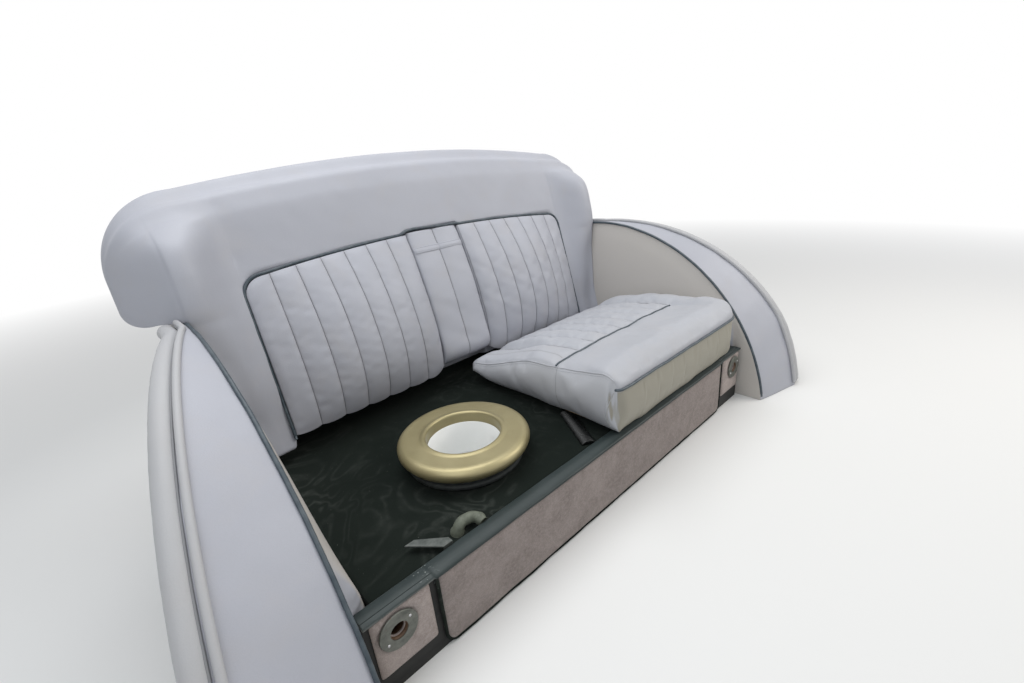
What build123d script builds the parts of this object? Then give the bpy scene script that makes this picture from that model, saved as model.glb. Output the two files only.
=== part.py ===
from build123d import *
import math
import os

# Rear bench seat of an old limousine, with the covers of its two wheel arches.
# The near half of the loose seat cushion is out, so the deck and the commode in it are open.
# Millimetres, +Z up, +X across the car, and the seat faces -Y.
# The origin is on the floor, under the line where the back squabs meet the seat.

# Clearances
touch = 0.3             # between soft faces that touch
beyond = 1200.0         # reach of a cut that goes past every face
move_clear = 5.0        # beside a piece that moves
side_clear = 10.0       # beside the loose cushion
pin_clear = 0.05        # radial, at the armrest pin

# Base and deck
arch_gap_half = 650.0   # half the width between the wheel-arch covers
deck_top = 165.0
felt_thick = 8.0
deck_thick = 10.0
board_thick = 15.0
board_inset = 3.0       # side board's outer face to the arch cover
bearer_width = 50.0
bearer_height = 45.0
joist_width = 30.0
joist_height = 60.0
joist_places = (-500.0, -70.0, 300.0)
bolt_radius = 5.0
bolt_spacing = 1000.0

# Rail and heelboard
rail_front = -581.0
rail_width = 42.0
rail_top = 178.0
rail_height = 26.0
rail_end_height = 10.0  # of the thin ends, over the end carpets
rail_end_lap = 12.0     # of the thin ends, past the end carpets
rail_lap = 30.0         # of the rail, past the arch covers' inner faces
rail_nose = 10.0
heel_thick = 12.0
carpet_thick = 8.0
carpet_inset = 2.0      # carpet's face behind the rail's
carpet_corner = 25.0
carpet_foot = 4.0
end_carpet_width = 113.0
end_carpet_foot = 45.0
end_carpet_gap = 19.5   # between the long carpet and each end carpet
end_carpet_inset = 10.0 # from the rail's end

# Vent discs in the end carpets
vent_radius = 16.5
vent_disc_radius = 36.0
vent_disc_thick = 3.0
vent_collar = 3.5
vent_height = 127.0
vent_inset = 54.0       # from the rail's end

# Commode
ring_x = -280.0
ring_y = -328.0
ring_radius = 157.5
ring_opening = 88.7
ring_thick = 34.0
ring_edge = 16.0
ring_foot_inset = 8.0
ring_lip = 7.0
ring_lip_rise = 2.5
ring_lip_drop = 4.0
gasket_radius = 149.0
gasket_thick = 30.0
gasket_inset = 8.0
gasket_round = 4.0
bowl_radius = 110.0
bowl_depth = 105.0
bowl_wall = 2.5
bowl_flange = 25.0
bowl_straight = 45.0    # depth of its straight wall
bowl_round = 58.0       # between its wall and its floor
bowl_clear = 6.0        # hole in the deck round the bowl
spigot_radius = 19.0
spigot_wall = 2.5
spigot_foot = 6.0

# Lever, drain elbow and ribbed strap on the deck
lever_thick = 3.0
lever_height = 14.0
lever_root = 20.0       # width of its root
lever_root_place = -497.0
lever_tip_place = -546.0
lever_tip_rear = -482.0
lever_tip_width = 21.0
lever_bend = -526.0
elbow_radius = 13.0
elbow_place = -446.0
elbow_rear = -505.0
elbow_reach = 42.0
strap_width = 35.0
strap_place = 18.0
strap_rear = -392.0
strap_skew = 76.0
strap_base = 5.0
rib_height = 3.0
rib_pitch = 8.0

# Backrest
lean_deg = 14.35
foot_height = 227.0     # line of the squab feet above the floor
pad_depth = 120.0       # front face to back board
pad_foot = 195.0        # underside of the pad above the floor
back_top = 863.0
back_end_drop = 34.0    # of the top line at back_drop_half
back_drop_half = 550.0
back_half = 785.0
back_corner = 170.0
back_corner_share = 0.7 # most that a corner takes of the height above the step
wing_depth = 104.0
wing_nose = 657.0       # wing's foremost line, from the middle
wing_rise = 22.0        # from the wing's steep inner face to its foremost line
wing_fall = 33.0        # from its foremost line to the round outer side
wing_side = 88.0        # how far behind the face the outer side ends
wing_bulge = 12.0       # of the outer side
wing_low = 60.0         # along the lean, where the wing's front edge starts
wing_mid = 235.0
wing_high = 400.0
wing_full = 20.0        # fullness of its upper part
back_roll = (           # rolled top: places below its highest line and behind the face
    (87.0, 0.0),
    (47.0, 13.0),
    (19.0, 38.0),
    (6.0, 76.0),
)
step_height = 571.0     # where the pad widens over the arch covers
step_round = 40.0
back_board_thick = 12.0
back_board_half = 700.0
back_board_top = 560.0
post_width = 45.0
post_depth = 30.0
post_place = 420.0
post_top = 500.0

# Pleated squabs, armrest and their piping
squab_half = 557.5
squab_depth = 20.0
squab_tuck = 40.0       # of the piping, below the squab's foot
squab_top = 430.0       # along the lean, at the middle
squab_sag = 34.0        # of the top line at squab_half
squab_corner = 50.0
flutes = 7
flute_round = 9.0
crown_height = 62.0     # of the middle flute
crown_edge = 14.0       # of the flute beside the piping
crown_inner = 40.0      # of the flute beside the armrest
crown_place = 165.0     # highest point along the lean
piping_radius = 4.0
armrest_half = 90.0
armrest_thick = 90.0
armrest_front = 30.0    # its crown in front of the back's face
armrest_straight = 20.0 # its front stays flat this far past the squabs' highest point
armrest_top_gap = 2.0
armrest_top_rise = 4.0
armrest_chamfer = 10.0
armrest_strap_room = 50.0       # opening behind its foot, past the pin
pin_along = 64.0        # pin's place along the lean
pin_radius = 5.0
tube_wall = 3.0
bracket_thick = 3.0
bracket_width = 46.0
bracket_foot = 28.0
band_place = 362.0      # stitched band across the armrest
band_width = 20.0
band_thick = 2.5

# Loose seat cushion
cushion_left = -10.0
cushion_rear = -17.0
cushion_rear_foot = 200.0       # height where its rear starts to roll over
cushion_rear_top = 250.0
cushion_rear_roll = 34.0
cushion_roll = -385.0           # insert piping's place, where the flutes end
cushion_roll_height = 320.0
cushion_nose = -528.0
cushion_top = 341.0
cushion_front = -577.0
cushion_edge = 302.0            # height of the front piping
cushion_batter = 4.0            # of the front boxing
cushion_foot_gap = 0.5
cushion_board_thick = 12.0
cushion_inset = 25.0
cushion_round = 14.0
cushion_crease_depth = 7.0
cushion_bearer_inset = 70.0     # of the bearer under its rear, from the cushion's ends
cushion_bearer_width = 50.0
cushion_bearer_rear = -60.0

# Wheel-arch covers
arch_y = -12.0
arch_z = -90.0
arch_radius = 648.0     # to the piping
arch_flare = 0.257      # gain in radius for each step outwards
arch_thick = 20.0
arch_shell = 3.0
arch_round = 42.0       # piping's place outside the inner face
arch_rear = 150.0
arch_spread_rear = 75.0         # of the outer edge, outside the inner face
arch_spread_front = 255.0
arch_flare_rear = -30.0         # where the outer edge starts to spread
arch_flare_front = -620.0       # where it ends
arch_front = -760.0
arch_bore = 170.0       # open middle of the inner wall, below the deck
arch_round_start = 58.0 # of the round shoulder, inside the piping
arch_shoulder = 11.0    # shoulder's middle, outside the inner face
arch_shoulder_drop = 16.0
arch_shell_foot = 2.0
arch_wall_gap = 0.5     # between the deck's side and the cover

# Derived
lean = math.radians(lean_deg)
rail_half = arch_gap_half + rail_lap
end_carpet_outer = rail_half - end_carpet_inset
end_carpet_inner = end_carpet_outer - end_carpet_width
carpet_half = end_carpet_inner - end_carpet_gap
rail_end_place = end_carpet_inner - rail_end_lap
vent_place = rail_half - vent_inset
felt_base = deck_top - felt_thick
deck_base = felt_base - deck_thick
rail_base = rail_top - rail_height
rail_end_base = rail_top - rail_end_height
rail_rear = rail_front + rail_width
carpet_front = rail_front + carpet_inset
heel_front = carpet_front + carpet_thick
heel_rear = heel_front + heel_thick
board_outer = arch_gap_half - board_inset
cushion_right = arch_gap_half - side_clear
arch_outer_rear = arch_gap_half + arch_spread_rear
arch_outer_front = arch_gap_half + arch_spread_front
squab_inner = armrest_half + move_clear
flute_pitch = (squab_half - squab_inner) / flutes
pin_depth = armrest_front - armrest_thick / 2
ring_base = deck_top + bowl_wall + gasket_thick
cushion_base = rail_top + cushion_foot_gap

lean_origin = (0, 0, foot_height)
up_lean = (0, math.sin(lean), math.cos(lean))
out_lean = (0, -math.cos(lean), math.sin(lean))
front_plane = Plane(origin=lean_origin, x_dir=(1, 0, 0), z_dir=out_lean)
plan_plane = Plane(origin=lean_origin, x_dir=(1, 0, 0), z_dir=up_lean)
# Side profiles: local x runs along the lean and local y out of the back's face.
side_plane = Plane(origin=lean_origin, x_dir=up_lean, z_dir=(1, 0, 0))


def box(x0, x1, y0, y1, z0, z1):
    """A block between two corners."""
    middle = ((x0 + x1) / 2, (y0 + y1) / 2, (z0 + z1) / 2)
    return Pos(*middle) * Box(x1 - x0, y1 - y0, z1 - z0)


def lean_box(x0, x1, s0, s1, n0, n1):
    """A block set along the lean: s runs up the back and n out of its face."""
    flat = Pos((x0 + x1) / 2, (s0 + s1) / 2, (n0 + n1) / 2) * Box(x1 - x0, s1 - s0, n1 - n0)
    return front_plane * flat


def mirrored(solid):
    return mirror(solid, about=Plane.YZ)


def lean_point(s, n):
    """The y and z of a point given along and out of the back's face."""
    y = s * math.sin(lean) - n * math.cos(lean)
    z = foot_height + s * math.cos(lean) + n * math.sin(lean)
    return y, z


def top_line(half, drop, height, x):
    """Height at x of an arc that is height at the middle and drops by drop at half."""
    radius = (half ** 2 + drop ** 2) / (2 * drop)
    return height - radius + math.sqrt(radius ** 2 - x ** 2)


# Everything behind the back board's front face
behind = lean_box(-beyond, beyond, -2 * beyond, 2 * beyond, -2 * beyond, -pad_depth)


def side_board():
    """Upright board under one side of the deck, cut to the back board's lean."""
    blank = box(board_outer - board_thick, board_outer, heel_rear + bearer_width, beyond, 0, deck_base)
    return blank - behind


def bearer(y, half):
    """Cross bearer on the floor, with a bolt hole near each end."""
    block = box(-half, half, y - bearer_width / 2, y + bearer_width / 2, 0, bearer_height)
    hole = Pos(bolt_spacing / 2, y, bearer_height / 2) * Cylinder(bolt_radius, 2 * bearer_height)
    return block - hole - mirrored(hole)


def joists():
    """Fore-and-aft joists that carry the deck."""
    low = deck_base - joist_height
    group = []
    half = joist_width / 2
    for x in joist_places:
        group.append(box(x - half, x + half, heel_rear, beyond, low, deck_base) - behind)
    return Compound(children=group)


def deck_layer(front, low, high):
    """One layer of the deck with the commode's hole."""
    blank = box(-board_outer, board_outer, front, beyond, low, high) - behind
    hole = Pos(ring_x, ring_y, low) * Cylinder(bowl_radius + bowl_clear, 2 * (high - low) + 1)
    return blank - hole


def deck_panel():
    """Plywood deck, stepped down in front to run under the rail to the heelboard."""
    panel = deck_layer(heel_rear, deck_base, felt_base)
    return panel - box(-beyond, beyond, heel_rear - 1, rail_rear, rail_base - touch, felt_base + 1)


def rail():
    """Front rail with rounded upper edges."""
    section = Pos((rail_front + rail_rear) / 2, (rail_base + rail_top) / 2)
    section = section * Rectangle(rail_width, rail_height)
    upper = section.vertices().sort_by(Axis.Y)[-2:].sort_by(Axis.X)
    section = fillet(upper[0], rail_nose)
    upper = section.vertices().filter_by(lambda v: v.X > rail_rear - 1 and v.Y > rail_top - 1)
    section = fillet(upper, rail_nose / 2)
    bar = extrude(Plane.YZ * section, rail_half, both=True)
    relief = box(rail_end_place, rail_half + 1, rail_front - 1, heel_rear, rail_base - 1, rail_end_base)
    return bar - relief - mirrored(relief)


def heelboard():
    """Front board of the base, higher at its ends, with the two vent holes."""
    board = box(-rail_half, rail_half, heel_front, heel_rear, 0, rail_base)
    end = box(rail_end_place + touch, rail_half, heel_front, heel_rear - touch, 0, rail_end_base)
    board += end + mirrored(end)
    for side in (-1, 1):
        board -= vent_hole(side)
    return board


def vent_hole(side):
    turned = Pos(side * vent_place, heel_front, vent_height) * Rot(90, 0, 0)
    return turned * Cylinder(vent_radius + vent_collar, 80)


def heel_carpet():
    """Long carpet on the heelboard, with rounded lower corners."""
    high = rail_base - touch
    sheet = Pos(0, (carpet_foot + high) / 2) * Rectangle(2 * carpet_half, high - carpet_foot)
    sheet = fillet(sheet.vertices().sort_by(Axis.Y)[:2], carpet_corner)
    return extrude(Plane.XZ.offset(-heel_front) * sheet, carpet_thick)


def end_carpet(side):
    """Short carpet beside the long one, round a vent."""
    inner = carpet_half + end_carpet_gap
    outer = inner + end_carpet_width
    low, high = sorted((side * inner, side * outer))
    sheet = box(low, high, carpet_front, heel_front, end_carpet_foot, rail_end_base - touch)
    return sheet - vent_hole(side)


def vent_disc(side):
    """Disc with a collar that lines the vent hole."""
    disc_front = carpet_front - vent_disc_thick
    outline = Polyline(
        (vent_radius, disc_front),
        (vent_disc_radius - 1, disc_front),
        (vent_disc_radius, disc_front + 1),
        (vent_disc_radius, carpet_front),
        (vent_radius + vent_collar - touch, carpet_front),
        (vent_radius + vent_collar - touch, heel_rear),
        (vent_radius, heel_rear),
        close=True,
    )
    disc = revolve(make_face(outline), Axis.Y)
    return Pos(side * vent_place, 0, vent_height) * disc


def commode_ring():
    """Turned seat ring: a flat top, a rounded rim and a small raised inner lip."""
    top = ring_base + ring_thick
    foot = (ring_radius - ring_foot_inset, ring_base)
    waist = (ring_radius, top - ring_edge)
    edge = (ring_radius - ring_edge, top)
    lip_foot = (ring_opening + 2 * ring_lip, top)
    lip_peak = (ring_opening + ring_lip, top + ring_lip_rise)
    lip_end = (ring_opening, top - ring_lip_drop)
    line = [
        Line((ring_opening, ring_base), foot),
        TangentArc(waist, foot, tangent=(0, -1)),
        TangentArc(waist, edge, tangent=(0, 1)),
        Line(edge, lip_foot),
        ThreePointArc(lip_foot, lip_peak, lip_end),
        Line(lip_end, (ring_opening, ring_base)),
    ]
    face = Plane.XZ * make_face(line)
    return Pos(ring_x, ring_y, 0) * revolve(face, Axis.Z)


def gasket():
    """Dark rubber seat under the ring."""
    upright = (Align.CENTER, Align.CENTER, Align.MIN)
    blank = Cylinder(gasket_radius, gasket_thick, align=upright)
    hole = Cylinder(ring_opening + gasket_inset, gasket_thick, align=upright)
    blank = fillet(blank.edges().sort_by(Axis.Z)[0], gasket_round)
    return Pos(ring_x, ring_y, deck_top + bowl_wall) * (blank - hole)


def bowl_blank(grow, high):
    """Solid of the bowl's form, grown outwards from its inside, up to a height."""
    radius = bowl_radius - bowl_wall + grow
    low = deck_top - bowl_depth + bowl_wall - grow
    bend = deck_top - bowl_straight
    round_x = bowl_radius - bowl_round
    lines = [
        Line((0, low), (spigot_radius, low)),
        Line((spigot_radius, low), (round_x, bend - bowl_round + bowl_wall - grow)),
        TangentArc((radius, bend), (round_x, bend - bowl_round + bowl_wall - grow), tangent=(0, -1)),
        Line((radius, bend), (radius, high)),
        Line((radius, high), (0, high)),
        Line((0, high), (0, low)),
    ]
    return revolve(Plane.XZ * make_face(lines), Axis.Z)


def bowl():
    """Pressed bowl with a flange on the deck and a drain spigot below."""
    upright = (Align.CENTER, Align.CENTER, Align.MIN)
    low = deck_top - bowl_depth
    rim = deck_top + bowl_wall
    solid = bowl_blank(bowl_wall, rim)
    solid += Pos(0, 0, deck_top) * Cylinder(bowl_radius + bowl_flange, bowl_wall, align=upright)
    solid += Pos(0, 0, spigot_foot) * Cylinder(spigot_radius, low - spigot_foot + 1, align=upright)
    solid -= bowl_blank(0, rim + 1)
    solid -= Cylinder(spigot_radius - spigot_wall, low + 2 * bowl_wall, align=upright)
    return Pos(ring_x, ring_y, 0) * solid


def lever():
    """Flat metal lever that lies over the deck, turned down at its root behind the rail."""
    root_y = rail_rear + 1.0
    high = deck_top + lever_height
    root_end = lever_root_place + lever_root
    outline = Polyline(
        (lever_tip_place, lever_tip_rear),
        (lever_tip_place + lever_tip_width, lever_tip_rear),
        (root_end, lever_bend),
        (root_end, root_y),
        (lever_root_place, root_y),
        close=True,
    )
    blade = extrude(Pos(0, 0, high - lever_thick) * make_face(outline), lever_thick)
    root = box(lever_root_place, root_end, root_y, root_y + lever_thick, deck_top, high)
    return blade + root


def elbow():
    """Drain pipe that turns back down behind the rail."""
    first = (elbow_place, elbow_rear)
    second = (elbow_place + elbow_reach, rail_rear + elbow_radius + 2)
    spring_line = deck_top + 3.0
    bend = math.dist(first, second) / 2
    middle = ((first[0] + second[0]) / 2, (first[1] + second[1]) / 2, spring_line + bend)
    path = Line((*first, deck_top), (*first, spring_line))
    path += ThreePointArc((*first, spring_line), middle, (*second, spring_line))
    path += Line((*second, spring_line), (*second, deck_top))
    return sweep(Pos(*first, deck_top) * Circle(elbow_radius), path=path)


def ribbed_strap():
    """Cross-ribbed rubber strap from under the cushion to the rail."""
    inner = (strap_place, strap_rear)
    outer = (strap_place - strap_skew, rail_rear + strap_width / 2)
    length = math.dist(inner, outer)
    turn = math.degrees(math.atan2(outer[1] - inner[1], outer[0] - inner[0]))
    strap = Pos(length / 2, 0, strap_base / 2) * Box(length, strap_width, strap_base)
    count = int((length - rib_pitch) / rib_pitch)
    for i in range(count):
        rib = Box(rib_pitch / 2, strap_width - rib_pitch / 2, rib_height + 1)
        strap += Pos((i + 1) * rib_pitch, 0, strap_base + (rib_height - 1) / 2) * rib
    return Pos(inner[0], inner[1], deck_top) * Rot(0, 0, turn) * strap


def back_outline():
    """Front view of the backrest: arched top, round corners, narrower between the arches."""
    shoulder = top_line(back_drop_half, back_end_drop, back_top, back_half - back_corner)
    corner = min(back_corner, back_corner_share * (shoulder - step_height))
    corner_x = back_half - corner
    corner_top = top_line(back_drop_half, back_end_drop, back_top, corner_x)
    corner_z = corner_top - corner
    turn = corner * math.sqrt(0.5)
    low = arch_gap_half - 1.0
    lines = [Line((-low, pad_foot), (low, pad_foot))]
    for side in (-1, 1):
        lines += [
            Line((side * low, pad_foot), (side * low, step_height)),
            Line((side * low, step_height), (side * back_half, step_height)),
            Line((side * back_half, step_height), (side * back_half, corner_z)),
            ThreePointArc(
                (side * back_half, corner_z),
                (side * (corner_x + turn), corner_z + turn),
                (side * corner_x, corner_top),
            ),
        ]
    lines.append(ThreePointArc((corner_x, corner_top), (0, back_top), (-corner_x, corner_top)))
    face = make_face(lines)
    ears = face.vertices().filter_by(lambda v: abs(v.X) > back_half - 1 and v.Y < step_height + 1)
    return fillet(ears, min(step_round, 0.8 * (corner_z - step_height)))


def back_plan():
    """Section across the backrest: flat middle, and a wing that rolls forward and round at each end."""
    foot = squab_half + piping_radius
    rising = wing_nose - wing_rise
    falling = wing_nose + wing_fall
    fall_y = -wing_depth * 0.67
    side_middle = ((falling + back_half) / 2, (fall_y + wing_side) / 2 - wing_bulge)
    half = [
        ((foot, 0), ((foot + rising) / 2, -wing_depth * 0.32), (rising, -wing_depth * 0.83)),
        ((rising, -wing_depth * 0.83), (wing_nose, -wing_depth * 0.94), (falling, fall_y)),
        ((falling, fall_y), side_middle, (back_half, wing_side)),
    ]
    lines = [Line((-foot, 0), (foot, 0))]
    for a, b, c in half:
        lines.append(ThreePointArc(a, b, c))
        lines.append(ThreePointArc((-a[0], a[1]), (-b[0], b[1]), (-c[0], c[1])))
    lines.append(Line((back_half, wing_side), (back_half, pad_depth)))
    lines.append(Line((-back_half, wing_side), (-back_half, pad_depth)))
    lines.append(Line((-back_half, pad_depth), (back_half, pad_depth)))
    return make_face(lines)


def back_side():
    """Side view of the backrest, along the lean: the wing's front edge and the rolled top."""
    top = (back_top - foot_height + pad_depth * math.sin(lean)) / math.cos(lean)
    foot = -wing_low
    crest = (wing_high, wing_depth)
    fall, turn, edge, rear = [(top - below, -behind) for below, behind in back_roll]
    upper = ((wing_high + fall[0]) / 2 + wing_full, wing_depth * 0.75)
    lines = [
        Line((foot, -pad_depth), (foot, 0)),
        Line((foot, 0), (wing_low, 0)),
        ThreePointArc((wing_low, 0), (wing_mid, wing_depth * 0.35), crest),
        ThreePointArc(crest, upper, fall),
        ThreePointArc(fall, turn, edge),
        ThreePointArc(edge, rear, (top, -pad_depth)),
        Line((top, -pad_depth), (foot, -pad_depth)),
    ]
    return make_face(lines)


def pleated_outline(grow):
    """Front view of the pleated area, with its drooping top line and round corners."""
    half = squab_half + grow
    foot = -squab_tuck
    corner = squab_corner + grow
    turn = math.sqrt(0.5)
    arc_end = half - corner
    arc_height = top_line(squab_half, squab_sag, squab_top + grow, arc_end)
    side_height = arc_height - corner
    middle = (arc_end + corner * turn, side_height + corner * turn)
    lines = [
        Line((half, foot), (half, side_height)),
        ThreePointArc((half, side_height), middle, (arc_end, arc_height)),
        ThreePointArc((arc_end, arc_height), (0, squab_top + grow), (-arc_end, arc_height)),
        ThreePointArc((-arc_end, arc_height), (-middle[0], middle[1]), (-half, side_height)),
        Line((-half, side_height), (-half, foot)),
    ]
    return lines, Line((-half, foot), (half, foot))


def pleated_prism(grow, low, high):
    lines, base = pleated_outline(grow)
    return extrude(front_plane.offset(low) * make_face(lines + [base]), high - low)


def crown_profile(crown, back, foot, top):
    """Side view of a crowned pad: two arcs that meet at the crown's highest point."""
    peak = (crown_place, crown)
    lines = [
        Line((foot, back), (foot, 0)),
        TangentArc(peak, (foot, 0), tangent=(-1, 0)),
        TangentArc(peak, (top, 0), tangent=(1, 0)),
        Line((top, 0), (top, back)),
        Line((top, back), (foot, back)),
    ]
    return make_face(lines)


def flute_crown(i):
    """Crown of a flute, counted from the armrest outwards."""
    share = i / (flutes - 1)
    rise = math.sin(math.pi * share)
    ends = crown_inner + (crown_edge - crown_inner) * share
    return ends + (crown_height - (crown_inner + crown_edge) / 2) * rise


def squab():
    """Pleated squab: one crowned flute beside another, cut to the pleated outline."""
    body = None
    for i in range(flutes):
        side_view = crown_profile(flute_crown(i), -squab_depth, 0, squab_top + squab_depth)
        flute = extrude(side_plane.offset(squab_inner + i * flute_pitch) * side_view, flute_pitch)
        ends = flute.faces().sort_by(Axis.X)
        long_edges = ends[0].edges() + ends[-1].edges()
        flute = fillet(long_edges.filter_by(GeomType.CIRCLE), flute_round)
        body = flute if body is None else body + flute
    return body & pleated_prism(-piping_radius, -squab_depth, 2 * crown_height)


def pleated_edge(radius):
    """Round bar that runs up one side of the pleated area, over its top and down again."""
    lines, _ = pleated_outline(0)
    path = Wire([front_plane * line for line in lines])
    start = front_plane * Pos(squab_half, -squab_tuck, 0)
    section = Plane(origin=start.position, z_dir=up_lean) * Circle(radius)
    return sweep(section, path=path)


def squab_piping():
    """Dark piping round the pleated area."""
    return pleated_edge(piping_radius)


def armrest_profile(grow):
    """Side view of the armrest: crowned front, flat back and a round end about the pin."""
    half = armrest_thick / 2 + grow
    front = pin_depth + half
    back = pin_depth - half
    top = squab_top - armrest_top_gap
    shoulder = (top - armrest_chamfer, armrest_top_rise + grow)
    corner = (top, shoulder[1] - armrest_chamfer)
    straight_end = crown_place + armrest_straight
    lines = [
        ThreePointArc((pin_along, back), (pin_along - half, pin_depth), (pin_along, front)),
        Line((pin_along, front), (straight_end, front)),
        TangentArc((straight_end, front), shoulder, tangent=(1, 0)),
        Line(shoulder, corner),
        Line(corner, (top, back)),
        Line((top, back), (pin_along, back)),
    ]
    return make_face(lines)


def armrest_blank(grow, half):
    return extrude(side_plane * armrest_profile(grow), half, both=True)


def armrest_pad():
    """Armrest, pleated like the squabs, with the hinge tube's bore."""
    pad = None
    for x0 in (-armrest_half, 0):
        flute = extrude(side_plane.offset(x0) * armrest_profile(0), armrest_half)
        sides = flute.faces().sort_by(Axis.X)[0].edges() + flute.faces().sort_by(Axis.X)[-1].edges()
        front = sides.filter_by(lambda e: front_plane.to_local_coords(e.center()).Z > 3)
        flute = fillet(front, flute_round)
        pad = flute if pad is None else pad + flute
    bore = Cylinder(pin_radius + pin_clear + tube_wall + touch, 4 * armrest_half)
    return pad - pin_location() * bore


def pin_location():
    y, z = lean_point(pin_along, pin_depth)
    return Pos(0, y, z) * Rot(0, 90, 0)


def armrest_tube():
    """Hinge tube inside the armrest."""
    tube = Cylinder(pin_radius + pin_clear + tube_wall, 2 * armrest_half)
    return pin_location() * (tube - Cylinder(pin_radius + pin_clear, 2 * armrest_half))


def armrest_pin():
    """Hinge pin from bracket to bracket."""
    return pin_location() * Cylinder(pin_radius, 2 * (squab_inner - touch))


def armrest_band():
    """Stitched band across the armrest's face."""
    shell = armrest_blank(touch + band_thick, armrest_half - 1) - armrest_blank(touch, armrest_half)
    return shell & lean_box(-beyond, beyond, band_place, band_place + band_width, -squab_depth, beyond)


def armrest_bracket():
    """Plate that carries one end of the pin, with a foot on the back board."""
    inner = armrest_half + 1.0
    outer = inner + bracket_thick
    half = bracket_width / 2
    low = pin_along - half
    high = pin_along + half
    plate = lean_box(inner, outer, low, high, -pad_depth, pin_depth)
    y, z = lean_point(pin_along, pin_depth)
    plate += Pos((inner + outer) / 2, y, z) * Rot(0, 90, 0) * Cylinder(half, bracket_thick)
    foot = lean_box(outer - bracket_foot, outer, low, high, -pad_depth, bracket_thick - pad_depth)
    hole = pin_location() * Cylinder(pin_radius + pin_clear, beyond)
    return plate + foot - hole


def back_pad():
    """Upholstered back: rolled top, wings, and recesses for the squabs and the armrest."""
    plan = extrude(plan_plane.offset(-beyond / 2) * back_plan(), beyond + pad_foot)
    side = extrude(side_plane * back_side(), back_half, both=True)
    front = extrude(Plane.XZ.offset(-beyond / 2) * back_outline(), beyond)
    pad = plan & side & front
    pad -= pleated_prism(0, -squab_depth - touch, squab_depth)
    recess = armrest_half + move_clear
    armrest_back = pin_depth - armrest_thick / 2 - move_clear
    pad -= lean_box(-recess, recess, -beyond, squab_top + 2 * armrest_top_gap, armrest_back, beyond)
    pad -= lean_box(-recess, recess, -beyond, pin_along + armrest_strap_room, -beyond, beyond)
    return pad - pleated_edge(piping_radius + touch)


def back_board():
    """Plywood board behind the back and the base, from the floor to near the top."""
    near = -pad_depth
    far = near - back_board_thick
    blank = lean_box(-back_board_half, back_board_half, -beyond, back_board_top, far, near)
    low = box(-arch_gap_half + 1, arch_gap_half - 1, -beyond, beyond, 0, step_height)
    high = box(-beyond, beyond, -beyond, beyond, step_height, beyond)
    return blank & (low + high)


def back_post():
    """Ash post behind the back board, standing on the floor."""
    half = post_width / 2
    near = -pad_depth - back_board_thick
    post = lean_box(post_place - half, post_place + half, -beyond, post_top, near - post_depth, near)
    return post & box(-beyond, beyond, -beyond, beyond, 0, beyond)


def cushion_top_arcs():
    """Arcs of the cushion's top, from its rear edge over the seat and the roll to the front piping."""
    rear_end = (cushion_rear - cushion_rear_roll, cushion_rear_top)
    rear = TangentArc((cushion_rear, cushion_rear_foot), rear_end, tangent=(0, 1))
    seat = TangentArc(rear @ 1, (cushion_roll, cushion_roll_height), tangent=rear % 1)
    roll = TangentArc(seat @ 1, (cushion_nose, cushion_top), tangent=seat % 1)
    nose = TangentArc(roll @ 1, (cushion_front, cushion_edge), tangent=roll % 1)
    return rear, seat, roll, nose


def cushion_profile():
    """Side view of the loose cushion: a rising top, a round front roll and a sloping boxing."""
    rear, seat, roll, nose = cushion_top_arcs()
    front_foot = (cushion_front + cushion_batter, cushion_base)
    lines = [
        Line((cushion_rear, cushion_base), rear @ 0),
        rear,
        seat,
        roll,
        nose,
        Line(nose @ 1, front_foot),
        Line(front_foot, (cushion_rear, cushion_base)),
    ]
    return make_face(lines)


def cushion_crease(x):
    """Cutter for the crease between two flutes: a cusp turned about the seat arc's centre."""
    seat = cushion_top_arcs()[1]
    y = seat.arc_center.X
    z = seat.arc_center.Y
    depth = cushion_crease_depth
    top = seat.radius
    bottom = (x, top - depth)
    lines = [
        TangentArc((x - depth, top), bottom, tangent=(1, 0)),
        TangentArc(bottom, (x + depth, top), tangent=(0, 1)),
        Line((x + depth, top), (x + depth, top + depth)),
        Line((x + depth, top + depth), (x - depth, top + depth)),
        Line((x - depth, top + depth), (x - depth, top)),
    ]
    plane = Plane(origin=(0, y, z), x_dir=(1, 0, 0), z_dir=(0, -1, 0))
    ring = revolve(plane * make_face(lines), Axis((0, y, z), (1, 0, 0)))
    return ring & box(-beyond, beyond, cushion_roll, 0, cushion_base, beyond)


def cushion_pad():
    """Loose half cushion with its foam and cover, creased in line with the squab's flutes."""
    pad = extrude(Plane.YZ.offset(cushion_left) * cushion_profile(), cushion_right - cushion_left)
    faces = pad.faces().sort_by(Axis.X)
    ends = faces[0].edges() + faces[-1].edges()
    pad = fillet(ends.sort_by(Axis.Z)[2:], cushion_round)
    for i in range(flutes + 1):
        pad -= cushion_crease(squab_inner + i * flute_pitch)
    return pad - cushion_board_blank(touch)


def cushion_board_blank(grow):
    """Board in the cushion's underside, or the room that it needs."""
    return box(
        cushion_left + cushion_inset - grow, cushion_right - cushion_inset + grow,
        cushion_front + cushion_inset - grow, cushion_rear - cushion_inset + grow,
        cushion_base - grow, cushion_base + cushion_board_thick + grow,
    )


def cushion_board():
    """Cushion's plywood base, with a bearer under its rear that stands on the deck."""
    bearer_block = box(
        cushion_left + cushion_bearer_inset, cushion_right - cushion_bearer_inset,
        cushion_bearer_rear - cushion_bearer_width, cushion_bearer_rear,
        deck_top + touch, cushion_base,
    )
    return cushion_board_blank(0) + bearer_block


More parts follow.
